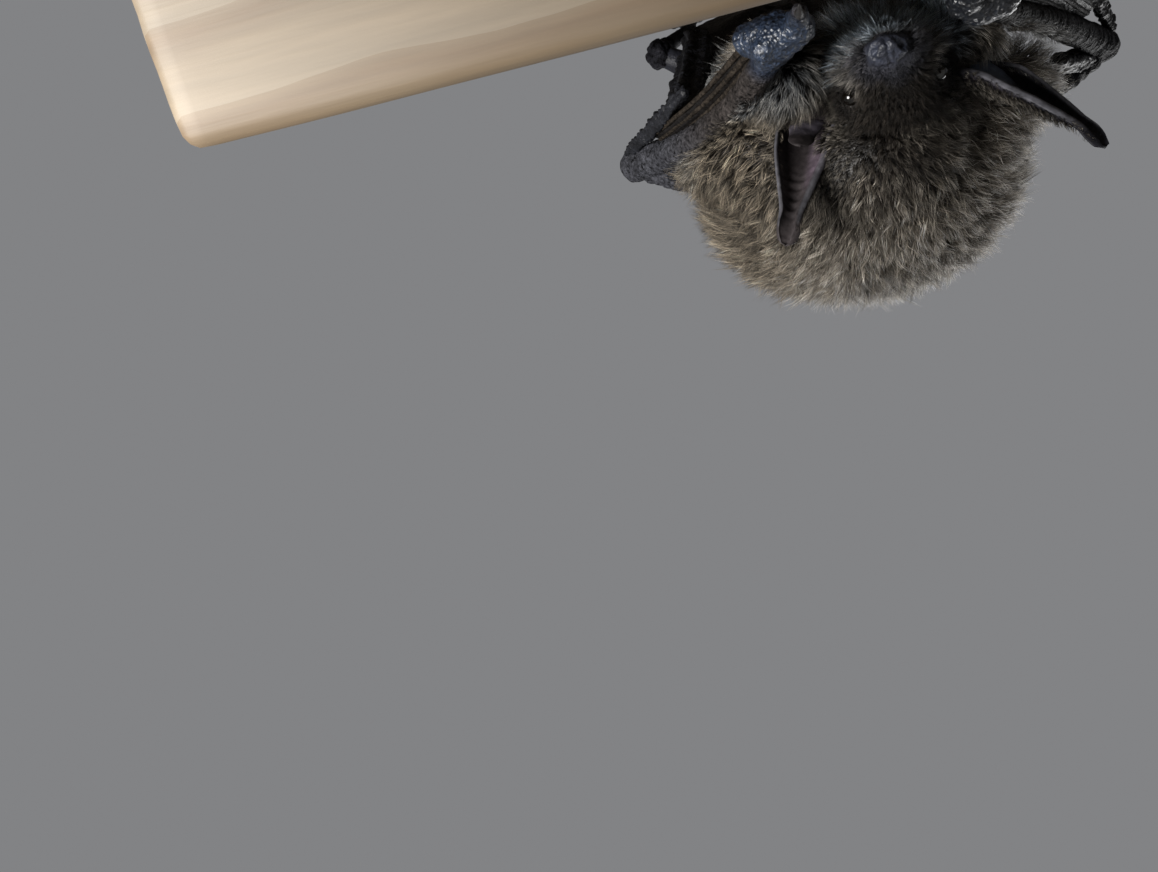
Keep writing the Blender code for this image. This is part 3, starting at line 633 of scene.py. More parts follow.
def finger_web_shape(side):
    """The wing skin drawn up between the long finger bones and the forearm."""
    lanes = np.array([spline(lane, 120) for lane in FINGER_LANES])
    inner = lanes[0] - vec(0.0, 0.8, -0.2)
    rows = np.stack([inner, lanes[0], lanes[1], lanes[2]], 1)
    across = np.linspace(0, 3, 50)
    k = np.minimum(across.astype(int), 2)
    t = (across - k)[None, :, None]
    course = rows[:, k] * (1 - t) + rows[:, k + 1] * t
    grid = np.array([[along_arm(side, *point) for point in row] for row in course])
    flat = grid.reshape(-1, 3)
    uneven = 0.25 * noise(flat, 1.3).reshape(grid.shape[:2])
    sink = 0.45 * np.abs(np.sin(np.pi * across))[None, :] + uneven + 0.15
    grid = grid + vec(-0.5 * side, -0.3, 0.75) * sink[..., None]
    return sheet_shape(grid, 0.5)


def crumpled(path, widths, depths, pleats, height, lumps, seed, hint):
    """A roll of gathered wing skin: pleats along it, with warty lumps all over."""
    count = len(path)

    def shape(i, angles):
        return 1 + height * np.cos(pleats * angles + 0.5 * i / count * 6.0 + seed)

    roll = tube(path, widths, depths, 72, hint=hint, shape=shape)
    points = roll[0] + seed * 3.1
    warts = np.abs(noise(points, lumps)) * 0.55 + 0.35 * noise(points, lumps * 2.2) - 0.15
    return pushed(roll, warts * 0.62)


def wing_fold_shape(side):
    stations = ((0.46, 4.2, -0.3), (0.72, 3.2, -0.4), (0.97, 1.7, -0.4))
    path = spline([along_arm(side, *station) for station in stations], 160)
    widths = 0.42 + 0.40 * np.sin(np.pi * (0.12 + 0.76 * np.linspace(0, 1, 160)))
    return crumpled(path, widths, widths, 3, 0.16, 0.5, side, (0.3, 0.2, 0.9))


def elbow_fold_shape(side):
    """The crumpled skin in the crook of the elbow, over the coat's edge."""
    stations = ((1.0, 1.6), (0.90, 2.7), (0.80, 3.6), (0.70, 4.0))
    course = [along_arm(side, share) + arm_inwards(side) * reach for share, reach in stations]
    widths = 0.45 + 0.55 * np.sin(np.pi * np.linspace(0.05, 0.85, 120))
    return crumpled(spline(course, 120), widths, widths, 3, 0.2, 0.6, side + 7, (0.3, 0.2, 0.9))


def wing_membrane_shape(side):
    points = [(19.6, 9.6, 25.0), (18.9, 8.9, 33.0), (17.6, 6.6, 44.0), (16.6, 4.2, 54.0), (17.4, 3.4, 63.5)]
    path = spline([sided(p, side) for p in points], 150)
    widths = 1.0 + 1.1 * np.sin(np.pi * (0.1 + 0.8 * np.linspace(0, 1, 150)))
    return crumpled(path, widths, widths * 0.6, 5, 0.22, 0.95, side + 4, (1.0, 0.0, 0.0))


def leg_shape(side):
    """Knee, shin, heel and the five hooked toes."""
    shin = limb([sided(p, side) for p in (KNEE, (20.6, 4.0, 74.5), ANKLE)], (1.5, 1.15, 0.95))
    sole = [sided(p, side) for p in (ANKLE, (18.2, 2.6, 86.0), (18.4, 2.0, 89.4))]
    sole = limb(sole, (1.1, 1.35, 1.75), flatten=0.6)
    shapes = [shin, sole, ball(sided(KNEE, side), (1.9, 1.9, 2.1))]
    for toe in range(5):
        spread = (toe - 2) * 1.05
        points = [
            (18.3 + spread * 0.75, 2.0, 88.6),
            (18.45 + spread * 1.15, 2.15, 91.4),
            (18.55 + spread * 1.4, 1.6, 94.0),
        ]
        shapes.append(limb([sided(p, side) for p in points], (0.58, 0.52, 0.42), 30, 14))
    shape = fused(shapes, 0.17, 3)
    near = smooth(7.0, 3.0, np.linalg.norm(shape[0] - sided(KNEE, side), axis=1))
    folds = np.abs(noise(shape[0], 0.9)) * 0.5 + 0.25 * noise(shape[0] + 3, 1.8)
    return pushed(shape, 0.06 * fractal(shape[0], 0.8) + near * folds)


def toe_claw_shapes(side):
    shapes = []
    for toe in range(5):
        spread = (toe - 2) * 1.05
        points = [
            (18.55 + spread * 1.4, 1.75, 93.8),
            (18.6 + spread * 1.47, 1.55, 95.1),
            (18.6 + spread * 1.5, 0.55, 95.9),
        ]
        shapes.append(limb([sided(p, side) for p in points], (0.36, 0.28, 0.1), 16, 10))
    return shapes


def thumb_claw_shape(side):
    x, off, up = WRIST[side]
    points = [(x - 1.6, off - 2.4, up - 8.5), (x - 1.5, off - 2.3, up - 10.2), (x - 1.5, 0.8, up - 11.3)]
    return limb([sided(p, side) for p in points], (0.46, 0.36, 0.12), 24, 12)


def tail_shape():
    points = [(0.0, 13.5, 68.0), (0.0, 12.0, 72.0), (0.0, 7.8, 80.0), (0.0, 4.0, 93.0), (0.0, 1.9, 109.0)]
    shape = limb([place(*p) for p in points], (2.4, 1.9, 1.25, 0.8, 0.42), 120, 24)
    joints = 0.07 * np.cos(shape[0][:, 2] * 2 * np.pi / 6.0)
    return pushed(shape, joints + 0.03 * fractal(shape[0], 0.7))


def tail_membrane_shape(side):
    """Half of the web from the tail to the shin and heel, with its fine cross ribs."""
    middle = [(12.4, 69.0), (11.0, 71.5), (7.8, 80.0), (4.0, 93.0), (2.1, 107.5)]
    outer = [(13.0, 11.0, 64.5), (15.5, 9.0, 67.0), (19.4, 4.6, 74.0), (17.6, 3.2, 82.8), (8.0, 2.2, 98.5)]
    inner_line = spline([place(0.0, off, up) for off, up in middle], 130)
    outer_line = spline([sided(p, side) for p in outer], 130)
    t = np.linspace(0, 1, 60)[None, :, None]
    grid = inner_line[:, None] * (1 - t) + outer_line[:, None] * t
    flat = grid.reshape(-1, 3)
    t = t[..., 0]
    ripple = 0.35 * np.sin(t * 3 * np.pi + np.linspace(0, 4, 130)[:, None]) * np.sin(np.pi * t)
    ribs = 0.05 * np.sin(np.linspace(0, 46 * np.pi, 130)[:, None] + 9 * t)
    ribs = ribs + 0.10 * noise(flat, 1.6).reshape(130, 60)
    grid = grid + vec(0.0, 1.0, 0.0) * (ripple + ribs)[..., None]
    return sheet_shape(grid, 0.5)


# ---------------------------------------------------------------- markings, the same on skin and coat

EYES = [head_point(EYE_PLACE[0], EYE_PLACE[1], EYE_PLACE[2] * side) for side in SIDES]

ROOT_TONE = vec(0.018, 0.014, 0.012)
# The right ear's and tragus's tones are darker than the left's: painted shade on the bat's right side.
EAR_TONE_SHADED_RIGHT = {LEFT: vec(0.027, 0.023, 0.024), RIGHT: vec(0.010, 0.010, 0.013)}
TRAGUS_TONE_SHADED_RIGHT = {LEFT: vec(0.115, 0.104, 0.130), RIGHT: vec(0.060, 0.072, 0.098)}
MIDDLE_TONE = vec(0.068, 0.059, 0.047)
TIP_TONE = vec(0.54, 0.49, 0.42)
BELLY_TONE = vec(0.76, 0.77, 0.76)
FACE_TONE = vec(0.0065, 0.0050, 0.0040)
CHEEK_TONE_WITH_PAINTED_LIGHT = vec(0.40, 0.49, 0.59)
BARE_TONE = vec(0.014, 0.0148, 0.021)
MASK_TONE = vec(0.022, 0.023, 0.030)
FINGER_TONE = vec(0.016, 0.0128, 0.010)
WEB_TONE = vec(0.005, 0.004, 0.0035)
FOLD_TONE = vec(0.009, 0.0095, 0.012)
LEG_TONE = vec(0.010, 0.010, 0.0125)
TAIL_WEB_TONE = vec(0.014, 0.011, 0.010)
TAIL_TONE = vec(0.024, 0.020, 0.018)


def mixed(low, high, share):
    share = np.asarray(share, float)[..., None]
    return low * (1 - share) + high * share


def from_eyes(points):
    return nearest(points, EYES)


def from_elbows(points):
    """How far from the nearer elbow, with the back counted as further."""
    reach = nearest(points, [sided(ELBOW[side], side) for side in SIDES])
    return reach + np.clip(JOIST_FACE_Y - 18.5 - points[:, 1], 0.0, 12.0)


def bare_share(points):
    """1 on the muzzle's bare skin, 0 where the coat grows."""
    b, a, x = in_head(points)
    edge = 2.0 - 0.4 * smooth(0.5, -0.9, a) - 0.15 * np.abs(x) + 0.6 * noise(points, 1.2)
    chin = smooth(-0.75, -0.25, a - mouth_line(b))
    bare = np.maximum(smooth(edge + 0.9, edge - 0.5, b) * chin, smooth(1.15, 0.95, from_eyes(points)))
    bare = np.maximum(bare, smooth(9.0, 7.0, from_knees(points)))
    return np.maximum(bare, smooth(13.0, 11.0, from_elbows(points) + 1.5 * noise(points, 2.5)))


def mask_share(points):
    """1 on the short-haired mask about the bare muzzle."""
    b, a, _ = in_head(points)
    return smooth(4.9 + 0.9 * noise(points, 1.6), 2.6, b) * smooth(-1.7, -0.9, a)


def brow_share(points):
    """1 over the dark forehead and around the eyes."""
    b, a, x = in_head(points)
    brow = smooth(12.5, 8.0, b + 1.5 * noise(points, 3.0)) * smooth(-0.8, 1.8, a)
    brow = brow * smooth(6.5, 4.0, np.abs(x))
    return np.maximum(brow, smooth(3.8, 2.0, from_eyes(points)))


def pale_share(points):
    """1 on the belly, and in the pale patches beside the arms."""
    off = JOIST_FACE_Y - points[:, 1]
    up = points[:, 2] - NOSE_HEIGHT
    belly = smooth(14.0, 9.0, off) * smooth(18.0, 28.0, up)
    shoulder = smooth(10.5, 6.0, np.linalg.norm(points - sided((16.0, 12.0, 17.5), RIGHT), axis=1))
    root, _, _, facing = ear_frame(RIGHT)
    shoulder = shoulder * smooth(-0.5, 1.5, (points - root) @ facing)
    flank = smooth(7.5, 10.5, np.abs(points[:, 0])) * smooth(17.0, 13.5, off) * smooth(18.0, 26.0, up)
    flank = flank * smooth(8.0, 14.0, from_knees(points))
    return np.maximum(np.maximum(belly, flank), 0.9 * shoulder)


def coat_tone(points, along, shade, grizzle):
    """The coat's colour at a share along its tufts, from the places of their roots."""
    b, a, x = in_head(points)
    face = smooth(9.5, 6.0, b)
    chin = smooth(17.0, 9.0, b) * smooth(-0.7, -2.2, a) * smooth(8.0, 5.0, np.abs(x))
    cheek = 0.45 * face * smooth(2.4, 4.4, np.abs(x)) * smooth(2.8, 0.6, a)
    # Painted light: the tips turn browner and darker towards the bat's left side, standing in for warm light
    # there against cooler shade on its right.
    tip = mixed(TIP_TONE, TIP_TONE * vec(0.82, 0.75, 0.65), smooth(4.0, 13.0, points[:, 0]))
    tip = mixed(tip, BELLY_TONE, pale_share(points))
    # Partly painted light: the chin and cheeks have paler fur of their own, and their tone is made paler and
    # bluer still, standing in for light on the chin.
    tip = mixed(tip, CHEEK_TONE_WITH_PAINTED_LIGHT * 1.5, np.maximum(chin, 0.6 * cheek))
    middle = mixed(MIDDLE_TONE, CHEEK_TONE_WITH_PAINTED_LIGHT * 0.6, np.maximum(chin, cheek) * 0.7)
    middle = mixed(middle, BELLY_TONE * 0.45, pale_share(points))
    tone = mixed(ROOT_TONE, middle, smooth(0.15, 0.6, along))
    tone = mixed(tone, tip, smooth(0.5, 1.0, along) * grizzle)
    tone = mixed(tone, FACE_TONE * (0.6 + 1.0 * np.asarray(along)[:, None]), 0.95 * brow_share(points))
    tone = mixed(tone, MASK_TONE * (0.5 + np.asarray(along)[:, None]), 0.85 * mask_share(points))
    patches = 1 + 0.3 * noise(points, 6.0) + 0.2 * noise(points, 2.2)
    # Painted shade: the coat is darkened in the partings along the ears' front rims, and on the sides of the
    # neck behind the ears.
    patches = patches * (1 + 0.45 * smooth(0.0, 18.0, -points[:, 1] - 21.0)) * (1 - 0.55 * beside_ear(points))
    patches = patches * (1 - 0.45 * smooth(5.5, 8.0, np.abs(x)) * smooth(18.0, 13.0, b))
    return np.clip(tone * (shade * patches)[:, None], 0.002, 0.9)


# ---------------------------------------------------------------- materials


def new_material(name):
    made = bpy.data.materials.new(name)
    made.use_nodes = True
    return made, made.node_tree, made.node_tree.nodes["Principled BSDF"]


def plug(tree, node, *inputs):
    """Sets sockets, given as pairs of a socket and a value or another node's output."""
    for socket, value in inputs:
        if isinstance(value, bpy.types.NodeSocket):
            tree.links.new(value, node.inputs[socket])
        else:
            node.inputs[socket].default_value = value


def add(tree, kind, inputs=(), **settings):
    """A node with its settings and inputs."""
    made = tree.nodes.new("ShaderNode" + kind)
    for key, value in settings.items():
        setattr(made, key, value)
    plug(tree, made, *inputs)
    return made


def spread(tree, value, low, high):
    """A texture's value stretched to low..high."""
    return add(tree, "MapRange", [("Value", value), ("To Min", low), ("To Max", high)]).outputs["Result"]


def ramp(tree, factor, stops):
    made = add(tree, "ValToRGB", [("Fac", factor)])
    elements = made.color_ramp.elements
    while len(elements) < len(stops):
        elements.new(0.5)
    for element, (position, colour) in zip(elements, stops):
        element.position = position
        element.color = (*colour, 1.0)
    return made.outputs["Color"]


NOISE, CELLS = "noise", "cells"


def grain(tree, scale, detail=3.0, stretch=(1.0, 1.0, 1.0), kind=NOISE):
    """A texture's value in the object's own space; scale is lumps per metre."""
    where = add(tree, "TexCoord").outputs["Object"]
    mapped = add(tree, "Mapping", [("Vector", where), ("Scale", stretch)]).outputs["Vector"]
    inputs = [("Vector", mapped), ("Scale", scale)]
    if kind == CELLS:
        return add(tree, "TexVoronoi", inputs).outputs["Distance"]
    return add(tree, "TexNoise", [*inputs, ("Detail", detail), ("Roughness", 0.6)]).outputs["Fac"]


def tint(tree):
    return add(tree, "Attribute", attribute_name="tint").outputs["Color"]


def scaled_colour(tree, colour, factor, low, high):
    """The colour times a texture's middle values stretched to low..high."""
    limits = [("From Min", 0.3), ("From Max", 0.7), ("To Min", low), ("To Max", high)]
    amount = add(tree, "MapRange", [("Value", factor), *limits]).outputs["Result"]
    scaled = add(tree, "VectorMath", [(0, colour), ("Scale", amount)], operation="SCALE")
    return scaled.outputs["Vector"]


def bumps(tree, shader, *layers):
    """Bump layers, each a texture value, a strength and a depth in millimetres."""
    normal = None
    for value, strength, depth in layers:
        inputs = [("Height", value), ("Strength", strength), ("Distance", depth * MM)]
        if normal is not None:
            inputs.append(("Normal", normal))
        normal = add(tree, "Bump", inputs).outputs["Normal"]
    tree.links.new(normal, shader.inputs["Normal"])


def skin_material(name, roughness, fleck_scale, fleck_low, fleck_high, layers, specular=0.5, coat=0.0):
    made, tree, shader = new_material(name)
    colour = scaled_colour(tree, tint(tree), grain(tree, fleck_scale), fleck_low, fleck_high)
    rough = spread(tree, grain(tree, 900.0), *roughness)
    plug(tree, shader, ("Base Color", colour), ("Roughness", rough), ("Specular IOR Level", specular))
    plug(tree, shader, ("Coat Weight", coat), ("Coat Roughness", 0.25))
    bumps(tree, shader, *[(grain(tree, s, 3.0, kind=k), strength, depth) for s, k, strength, depth in layers])
    return made


BODY_BUMPS = [(1100.0, NOISE, 0.7, 0.25), (3800.0, CELLS, 0.7, 0.08)]
EAR_BUMPS = [(2600.0, NOISE, 0.5, 0.08)]
ARM_BUMPS = [(3600.0, CELLS, 0.9, 0.14), (1500.0, NOISE, 0.8, 0.3)]
WRIST_BUMPS = [(3000.0, CELLS, 0.9, 0.16), (6200.0, NOISE, 0.4, 0.06)]
MEMBRANE_BUMPS = [(2400.0, CELLS, 0.9, 0.16), (900.0, NOISE, 0.6, 0.2)]

body_skin = skin_material("body_skin", (0.42, 0.6), 2600.0, 0.6, 1.5, BODY_BUMPS, 0.35)
ear_skin = skin_material("ear_skin", (0.45, 0.62), 1800.0, 0.75, 1.3, EAR_BUMPS, 0.1)
arm_skin = skin_material("arm_skin", (0.5, 0.7), 2300.0, 0.1, 2.4, ARM_BUMPS, 0.06)
wrist_skin = skin_material("wrist_skin", (0.28, 0.45), 2100.0, 0.2, 2.1, WRIST_BUMPS, 0.5, 0.12)
membrane_skin = skin_material("membrane_skin", (0.40, 0.62), 2400.0, 0.6, 1.6, MEMBRANE_BUMPS, 0.2)


def coat_material():
    made, tree, shader = new_material("coat")
    strands = grain(tree, 2600.0, 2.0)
    colour = scaled_colour(tree, tint(tree), strands, 0.7, 1.3)
    rough = spread(tree, strands, 0.42, 0.62)
    plug(tree, shader, ("Base Color", colour), ("Roughness", rough), ("Specular IOR Level", 0.16))
    return made


def eye_material():
    made, tree, shader = new_material("eye_black")
    depth = ramp(tree, grain(tree, 1500.0), [(0.3, (0.001, 0.0008, 0.0006)), (0.8, (0.004, 0.003, 0.002))])
    plug(tree, shader, ("Base Color", depth), ("Roughness", 0.12))
    return made


def claw_material():
    made, tree, shader = new_material("claw_horn")
    streaks = grain(tree, 1400.0, 3.0, (3.0, 3.0, 0.5))
    colour = ramp(tree, streaks, [(0.3, (0.008, 0.008, 0.009)), (0.7, (0.022, 0.020, 0.019))])
    plug(tree, shader, ("Base Color", colour), ("Roughness", 0.45), ("Specular IOR Level", 0.25))
    bumps(tree, shader, (streaks, 0.3, 0.05))
    return made


def joist_material():
    """Sawn pine with its rings about a pith that runs along the joist, so they show on the cut ends."""
    made, tree, shader = new_material("joist_pine")
    where = add(tree, "TexCoord").outputs["Object"]
    warp = add(tree, "TexNoise", [("Vector", where), ("Scale", 14.0), ("Detail", 2.0)]).outputs["Color"]
    bent = add(tree, "VectorMath", [(0, warp), ("Scale", 0.010)], operation="SCALE").outputs["Vector"]
    warped = add(tree, "VectorMath", [(0, where), (1, bent)], operation="ADD").outputs["Vector"]
    centred = add(tree, "Mapping", [("Vector", warped), ("Location", (0.0, 0.035, -0.075))]).outputs["Vector"]
    rings = add(tree, "TexWave", [("Vector", centred), ("Scale", 62.0), ("Distortion", 0.9), ("Detail", 2.0)])
    rings.wave_type, rings.rings_direction, rings.wave_profile = "RINGS", "X", "SAW"
    # Painted shade: these pine tones are far darker than real pine, to offset the bright key lamp close to
    # the joist.
    pale, late = [(0.0, (0.099, 0.078, 0.053)), (0.55, (0.093, 0.070, 0.044))], (0.86, (0.068, 0.045, 0.024))
    colour = ramp(tree, rings.outputs["Fac"], [*pale, late, (1.0, (0.083, 0.060, 0.036))])
    streaks = grain(tree, 420.0, 4.0, (0.06, 1.0, 1.0))
    blotches = grain(tree, 26.0, 3.0, (0.35, 1.0, 1.0))
    colour = scaled_colour(tree, colour, streaks, 0.80, 1.16)
    colour = scaled_colour(tree, colour, blotches, 0.72, 1.28)
    plug(tree, shader, ("Base Color", colour), ("Roughness", 0.62))
    bumps(tree, shader, (streaks, 0.35, 0.25), (rings.outputs["Fac"], 0.05, 0.1))
    return made


def base_material():
    made, tree, shader = new_material("base_walnut")
    streaks = grain(tree, 160.0, 5.0, (0.07, 1.0, 1.0))
    stops = [(0.25, (0.006, 0.004, 0.003)), (0.55, (0.013, 0.008, 0.006)), (0.8, (0.022, 0.014, 0.010))]
    colour = ramp(tree, streaks, stops)
    plug(tree, shader, ("Base Color", colour), ("Roughness", 0.75), ("Specular IOR Level", 0.2))
    bumps(tree, shader, (streaks, 0.2, 0.15))
    return made


def steel_material():
    made, tree, shader = new_material("rod_steel")
    brushed = grain(tree, 2600.0, 3.0, (1.0, 1.0, 0.03))
    colour = ramp(tree, brushed, [(0.2, (0.40, 0.40, 0.41)), (0.8, (0.60, 0.60, 0.61))])
    rough = spread(tree, brushed, 0.24, 0.38)
    plug(tree, shader, ("Base Color", colour), ("Metallic", 1.0), ("Roughness", rough))
    bumps(tree, shader, (brushed, 0.15, 0.02))
    return made


# ---------------------------------------------------------------- the skin


def first_corners(shapes):
    """The first corner of every face, in the order of the joined mesh."""
    return np.concatenate([points[[face[0] for face in faces]] for points, faces in shapes])


def set_tint(mesh, tones):
    attribute = mesh.attributes.new("tint", "FLOAT_COLOR", "POINT")
    opaque = np.hstack([tones, np.ones((len(tones), 1))])
    attribute.data.foreach_set("color", opaque.astype(np.float32).ravel())


def island_mesh(islands):
    """One mesh from (shape, material, tint) islands."""
    shapes = [shape for shape, _, _ in islands]
    mesh = to_mesh("bat_skin", joined(shapes))
    slots = [body_skin, ear_skin, arm_skin, wrist_skin, membrane_skin]
    for material in slots:
        mesh.materials.append(material)
    index = np.concatenate([np.full(len(s[1]), slots.index(m)) for s, m, _ in islands])
    corners = first_corners(shapes)
    for side in SIDES:
        near = np.linalg.norm(corners - wrist_middle(side), axis=1) < WRIST_REACH
        index[near & (index == slots.index(arm_skin))] = slots.index(wrist_skin)
    mesh.polygons.foreach_set("material_index", index.astype(np.int32))
    mesh.shade_smooth()
    set_tint(mesh, np.vstack([tones for _, _, tones in islands]))
    return mesh


def torso_tint(points):
    along, shade, grizzle = (np.full(len(points), value) for value in (0.12, 0.9, 0.0))
    under = coat_tone(points, along, shade, grizzle)
    b, a, x = in_head(points)
    # Painted highlight: the bare nose pad is tinted paler and bluer than the rest of the bare muzzle.
    pad = bump(np.sqrt((b - 0.4) ** 2 + (a + 0.1) ** 2 + (x * 0.45) ** 2), 1.0)
    bare = mixed(BARE_TONE, BARE_TONE * vec(1.3, 1.5, 1.7), pad)
    # Painted shade: the bare skin is darkened along the mouth's crease.
    mouth_crease_shade = bump(a - mouth_line(b), 0.22) * smooth(9.0, 7.0, b)
    uneven = 1 + 0.3 * noise(points, 1.1) + 0.2 * noise(points, 0.4)
    bare = bare * (1 - 0.65 * mouth_crease_shade)[:, None] * uneven[:, None]
    bare = mixed(bare, FACE_TONE * 0.9, smooth(4.0, 2.5, from_eyes(points)))
    return mixed(under, bare, bare_share(points))


def in_ear(points, side):
    """(up the ear, out from its middle, its half width there, forward as a share of its hollow)"""
    root, along, across, facing = ear_frame(side)
    d = points - root
    rows = spline(EAR_STATIONS, 200)
    share = (d @ along) / EAR_LENGTH + EAR_BELOW_ROOT
    half, depth = (np.interp(share, rows[:, 0], rows[:, k]) for k in (1, 2))
    return d @ along, d @ across, half, (d @ facing) / depth


def ear_tint_shaded_right(points, side):
    """Dark grey-brown, with a pinkish hollow beside the front rim and paler edges. The right ear is painted
    darker, with little pink, as painted shade.
    """
    up, out, half, forward = in_ear(points, side)
    pink = smooth(-0.4, -1.3, out) * smooth(-2.0, 0.5, up) * smooth(9.0, 4.5, up)
    # Painted shade: the right ear keeps only 0.15 of the pink hollow.
    pink = pink * (1.0 if side == LEFT else 0.15)
    tone = mixed(EAR_TONE_SHADED_RIGHT[side], vec(0.078, 0.060, 0.077), pink * (0.7 + 0.3 * noise(points, 1.0)))
    edge = smooth(0.7, 0.95, np.abs(out) / half) * smooth(0.05, 0.4, forward)
    tone = mixed(tone, vec(0.060, 0.060, 0.068), 0.8 * edge)
    return tone * (1 + 0.3 * noise(points, 1.5) + 0.2 * noise(points, 0.5))[:, None]


def tragus_tint(points, side):
    """Palest at its root, and as dark as the ear's hollow at its end."""
    root = head_point(TRAGUS_ROOT[0], TRAGUS_ROOT[1], TRAGUS_ROOT[2] * side)
    up = (points - root) @ unit(TRAGUS_ALONG[side])
    tone = mixed(TRAGUS_TONE_SHADED_RIGHT[side], EAR_TONE_SHADED_RIGHT[side] * 0.7, smooth(0.6, 3.6, up))
    return tone * (1 + 0.5 * noise(points, 0.9) + 0.2 * noise(points, 0.3))[:, None]


def in_forearm(points, side):
    """Each point's share of the way from wrist to elbow, and its distance from that line."""
    start, end = sided(WRIST[side], side), sided(ELBOW[side], side)
    share = (points - start) @ (end - start) / ((end - start) @ (end - start))
    return share, np.linalg.norm(points - start - (end - start) * share[:, None], axis=1)


def arm_tint_shaded_right(points, side):
    near = smooth(9.0, 4.0, np.linalg.norm(points - wrist_middle(side), axis=1))
    share, _ = in_forearm(points, side)
    tone = mixed(vec(0.016, 0.0138, 0.0130), vec(0.023, 0.0235, 0.0275), smooth(0.35, 0.8, share))
    # The wrist's pebbled skin is dark of its own, and its blue tint is a painted reflection of cool light.
    tone = mixed(tone, vec(0.0085, 0.0135, 0.025), near)
    # Painted shade: the right arm's skin is darkened to 0.14 of the left's.
    tone = tone * (1.0 if side == LEFT else 0.14)
    return tone * (1 + 0.35 * noise(points, 1.8) + 0.3 * np.abs(noise(points, 0.5)))[:, None]


def flat_tint_shaded_right(points, tone, spread=0.3, size=2.0):
    # Painted shade: tones darken towards the bat's right, to a quarter where x is below -16 mm.
    tone = np.asarray(tone) * (0.25 + 0.75 * smooth(-16.0, -12.0, points[:, 0]))[:, None]
    return tone * (1 + spread * noise(points, size) + 0.5 * spread * noise(points, size / 4))[:, None]


def bat_skin_islands(torso, ears, arms):
    islands = [(torso, body_skin, torso_tint(torso[0]))]

    def put(shape, triangles, material, tint_of, *settings):
        shape = thinned(shape, triangles)
        islands.append((shape, material, tint_of(shape[0], *settings)))

    for side in SIDES:
        pinna, tragus = ears[side]
        put(pinna, PINNA_TRIANGLES, ear_skin, ear_tint_shaded_right, side)
        put(tragus, TRAGUS_TRIANGLES, ear_skin, tragus_tint, side)
        put(arms[side], ARM_TRIANGLES, arm_skin, arm_tint_shaded_right, side)
        for shape in finger_shapes(side):
            put(shape, FINGER_TRIANGLES, arm_skin, flat_tint_shaded_right, FINGER_TONE)
        put(finger_web_shape(side), FINGER_WEB_TRIANGLES, membrane_skin, flat_tint_shaded_right, WEB_TONE)
        for make in (wing_fold_shape, wing_membrane_shape, elbow_fold_shape):
            put(make(side), ROLL_TRIANGLES, membrane_skin, flat_tint_shaded_right, FOLD_TONE, 0.5, 1.2)
        put(leg_shape(side), LEG_TRIANGLES, arm_skin, flat_tint_shaded_right, LEG_TONE, 0.6, 1.2)
        put(tail_membrane_shape(side), TAIL_MEMBRANE_TRIANGLES, membrane_skin, flat_tint_shaded_right, TAIL_WEB_TONE)
    put(tail_shape(), TAIL_TRIANGLES, arm_skin, flat_tint_shaded_right, TAIL_TONE)
    return islands


# ---------------------------------------------------------------- the coat


def scattered(shape, count, weight, *where):
    """count roots over the shape, more where weight is high, as (points, normals)."""
    points, triangles, normals = shape[0], triangles_of(shape), normals_of(shape)
    a, b, c = (points[triangles[:, k]] for k in range(3))
    area = np.linalg.norm(np.cross(b - a, c - a), axis=1) / 2
    chance = area * weight((a + b + c) / 3, unit(np.cross(b - a, c - a)), *where)
    chosen = rng.choice(len(triangles), count, p=chance / chance.sum())
    u, v = rng.random(count), rng.random(count)
    flip = u + v > 1
    u, v = np.where(flip, 1 - u, u), np.where(flip, 1 - v, v)
    w = np.stack([1 - u - v, u, v], 1)[..., None]
    picked = triangles[chosen]
    return (points[picked] * w).sum(1), unit((normals[picked] * w).sum(1))


def coat_density(points, normals):
    b, _, _ = in_head(points)
    towards_joist = smooth(0.2, 0.8, normals[:, 1]) * smooth(20.0, 10.0, JOIST_FACE_Y - points[:, 1])
    density = 1.0 + 3.0 * smooth(12.0, 6.0, b) + 0.5 * smooth(40.0, 10.0, points[:, 2] - NOSE_HEIGHT)
    return density * (1 - bare_share(points)) * (1 - 0.6 * towards_joist * smooth(12.0, 20.0, b))


def beside_ear(points):
    """1 in the parting along an ear's front rim, where the fur lies low and coat_tone darkens it as painted
    shade.
    """
    parting = np.zeros(len(points))
    for side in SIDES:
        rim = ear_surface(side, np.linspace(0.0, 0.6, 14), np.full(14, -1.0))
        parting = np.maximum(parting, smooth(4.6, 2.6, nearest(points, rim)))
    return parting


# The head's coat: how far behind the nose, and how deep the coat is there
TOP_COAT = (1.5, 3.5, 6.0, 9.0, 13.0, 18.0, 24.0), (0.15, 0.35, 0.7, 1.1, 1.8, 2.4, 2.8)
CHEEK_COAT = (2.0, 3.5, 5.0, 7.0, 10.0, 14.0, 24.0), (0.3, 0.9, 1.5, 1.8, 1.9, 2.1, 2.6)
CHIN_COAT = (0.8, 2.5, 4.0, 6.0, 9.0, 14.0, 24.0), (0.7, 2.0, 2.9, 3.3, 3.1, 2.8, 2.8)


